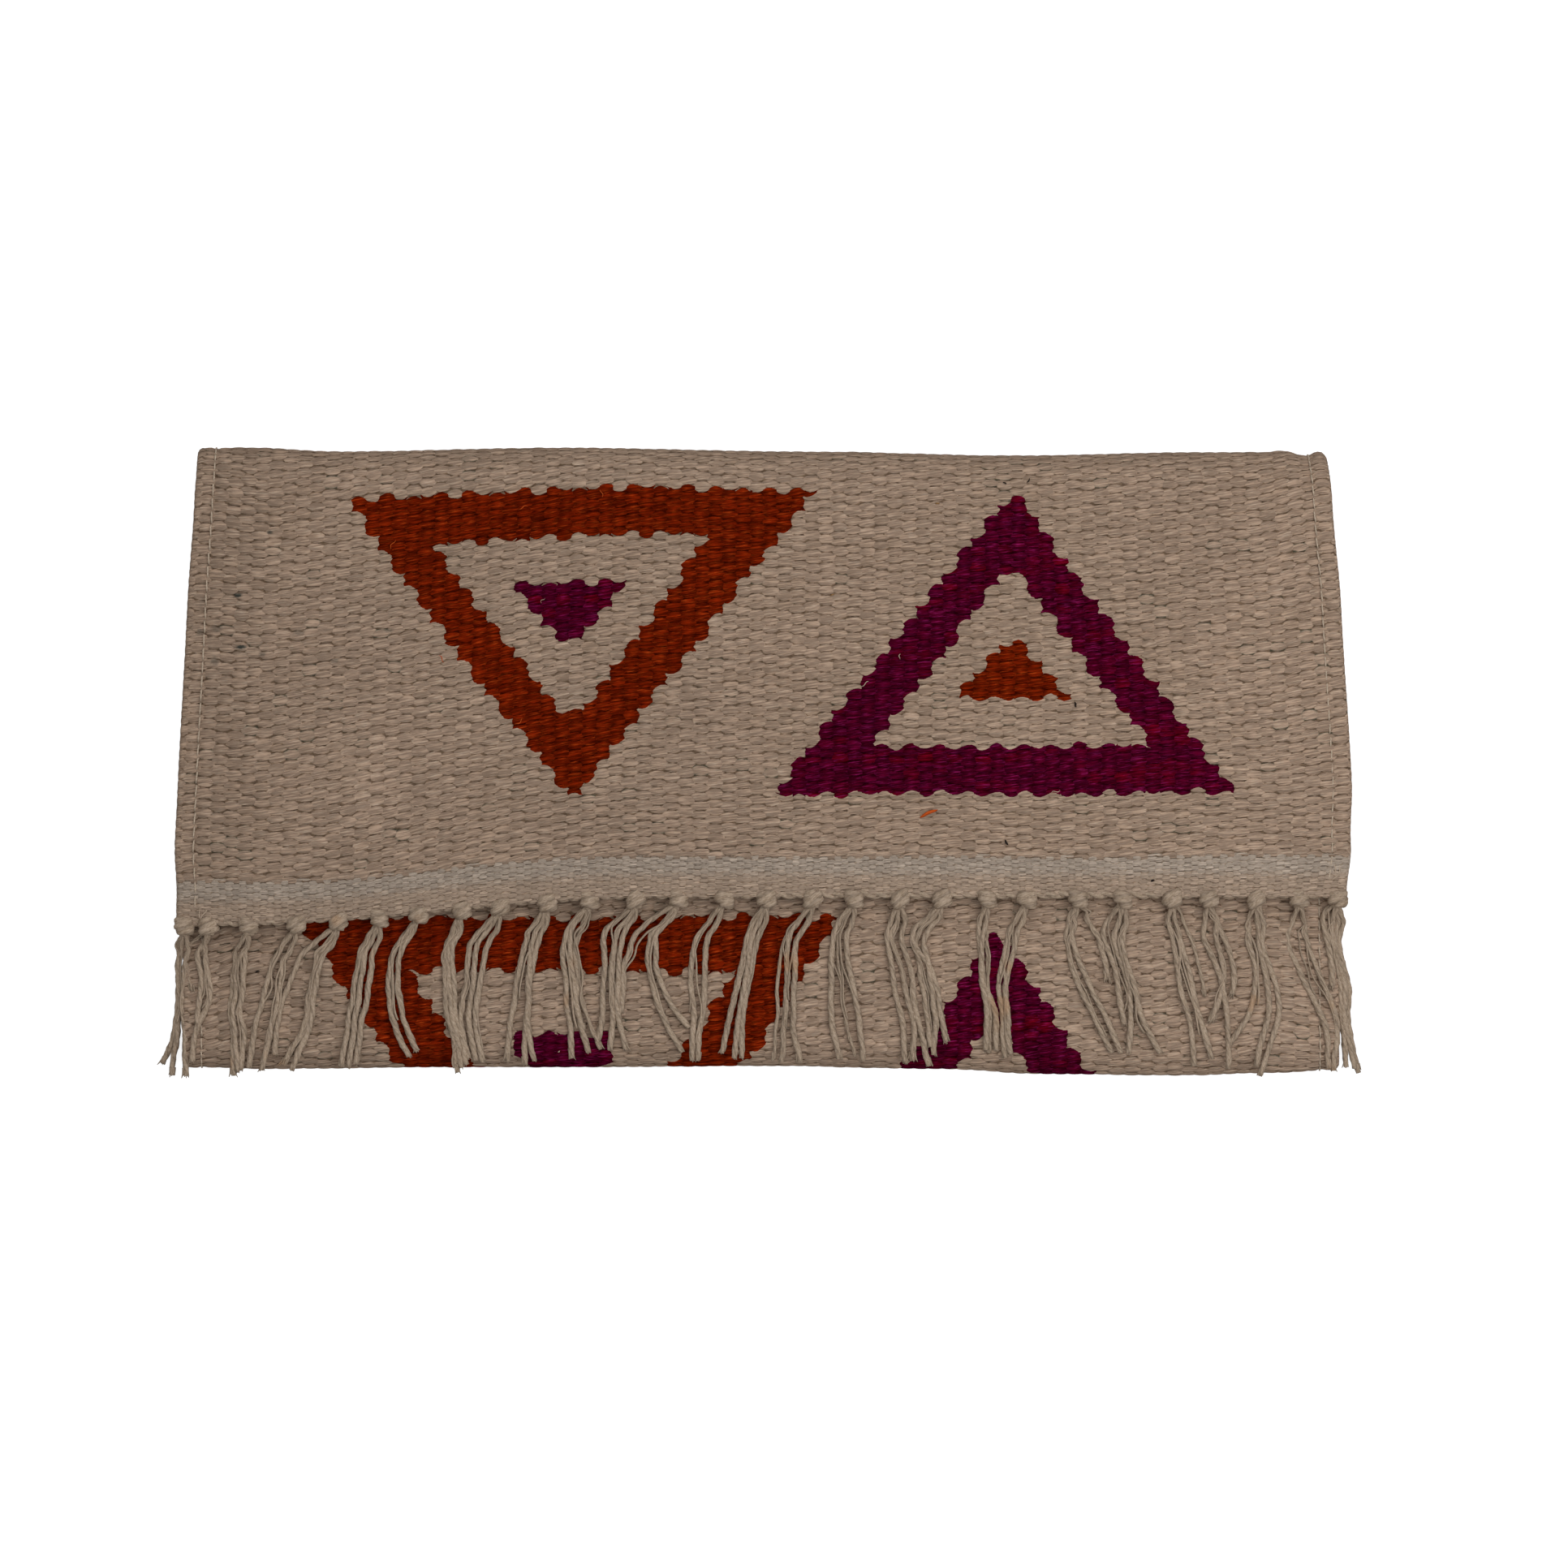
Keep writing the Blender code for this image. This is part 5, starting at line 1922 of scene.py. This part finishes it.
@dataclass(frozen=True)
class Studio:
    """The pale floor, the soft light and the camera straight above the bag."""

    view_width: float = 375.1 * MM
    view_centre: tuple[float, float] = (5.4 * MM, -6.0 * MM)
    view_height: float = 17.4 * MM
    distance: float = 3.0
    clip_end: float = 20.0
    sensor: float = 36.0
    horizon: float = 0.135  # the world's light on things, level with them and straight above
    zenith: float = 0.525
    floor_half: float = 4.0
    floor_level: float = -0.2 * MM
    floor_grey: float = 0.50
    floor_glow: float = 0.80
    lamps: tuple[Lamp, ...] = (
        Lamp("key_lamp", (0.0, 0.35, 2.8), 1.5, 19.3),
        Lamp("back_lamp", (-0.2, 1.6, 1.0), 1.0, 5.0),
        Lamp("side_lamp", (0.85, -0.15, 1.0), 0.8, 5.0),
    )

    def camera(self) -> None:
        """Sets the camera above the bag, with its picture as wide as the photograph's."""
        data = bpy.data.cameras.new("overhead_camera")
        data.sensor_width = self.sensor
        data.lens = self.sensor * self.distance / self.view_width
        data.clip_end = self.clip_end
        made = linked("overhead_camera", data)
        made.location = (*self.view_centre, self.view_height + self.distance)
        bpy.context.scene.camera = made

    def floor(self) -> None:
        """Lays the floor: a pale diffuse sheet that looks white to the camera but keeps shadows."""
        mesh = bpy.data.meshes.new("studio_floor")
        half = self.floor_half
        signs = ((-1, -1), (1, -1), (1, 1), (-1, 1))
        points = [(half * x, half * y, self.floor_level) for x, y in signs]
        mesh.from_pydata(points, [], [(0, 1, 2, 3)])
        made = linked("studio_floor", mesh)
        material = bpy.data.materials.new("white_floor")
        material.use_nodes = True
        tree = material.node_tree
        graph = Graph(tree)
        tree.nodes.remove(tree.nodes["Principled BSDF"])
        diffuse = graph.value("BsdfDiffuse", {"Color": (*[self.floor_grey] * 3, 1)})
        glow = graph.value("Emission", {"Strength": self.seen(graph) * self.floor_glow})
        total = graph.value("AddShader", {0: diffuse, 1: glow})
        graph.link(total, tree.nodes["Material Output"].inputs["Surface"])
        mesh.materials.append(material)

    def seen(self, graph: Graph) -> Signal:
        """One where the camera, a mirror or glass looks at a surface, and nought for other rays."""
        path = graph.node("LightPath").outputs
        rays = ("Is Camera Ray", "Is Glossy Ray", "Is Transmission Ray")
        camera, mirror, glass = (Signal(graph, path[ray]) for ray in rays)
        return graph.maximum(graph.maximum(camera, mirror), glass)

    def world(self) -> None:
        """Fills the scene with even light, white where it is looked at."""
        world = bpy.data.worlds.new("studio_world")
        bpy.context.scene.world = world
        world.use_nodes = True
        graph = Graph(world.node_tree)
        background = world.node_tree.nodes["Background"].inputs
        background["Color"].default_value = (*WHITE, 1.0)
        way = graph.value("TexCoord", output="Generated")
        rise = graph.maximum(graph.parts(way)[2], 0.0)
        light = rise * (self.zenith - self.horizon) + self.horizon
        seen = self.seen(graph)
        graph.link(light * (1 - seen) + seen, background["Strength"])

    def build(self) -> None:
        """Sets up the whole studio."""
        bpy.context.scene.view_settings.view_transform = "Standard"
        self.camera()
        self.floor()
        self.world()
        for lamp in self.lamps:
            lamp.build()


def main() -> None:
    """Builds the dressed bag piece by piece and reports each."""
    logging.basicConfig(level=logging.INFO, format="%(name)s: %(message)s")
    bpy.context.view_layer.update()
    strip, weave = Strip(), Weave()
    Studio().build()
    woven = WovenFinish().build(weave)
    fringe = FRINGE_YARN.build()
    thread = SEWING_THREAD.build()
    panels = [ClothPanel(strip, weave, panel).build(woven) for panel in Panel]
    fields = [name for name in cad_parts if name.endswith(("_flap", "_lower"))]
    for panel in panels:
        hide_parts("woven_cloth")
    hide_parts(*[name for name in fields if name.endswith("_flap")])
    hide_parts(*[name for name in fields if name.endswith("_lower")])
    hem = HemCord(strip).build(fringe)
    tassels = [
        Tassel(strip, number, knot).build(fringe) for number, knot in enumerate(FRINGE, 1)
    ]
    stitches = [
        Topstitching(strip, f"topstitch_{word}", f"edge_stitching_{word}", side).build(thread)
        for word, side in (("left", -1), ("right", 1))
    ]
    inside = Lining(strip)
    lining = inside.build(LiningFinish().build())
    for word, side in (("left", -1), ("right", 1)):
        SideSeam(strip, f"side_seam_{word}", side).build(fringe)
    wools = {colour: wool.build() for colour, wool in STRAY_WOOLS.items()}
    strays = [Strays(strip, colour).build(material) for colour, material in wools.items()]
    _, top_end, bottom_start, _, length = strip.turns
    width = strip.base_width
    bottom_start - top_end
    length - bottom_start
    flat = (width - 2 * inside.margin, length - inside.hem - inside.step)


if __name__ == "__main__":
    main()
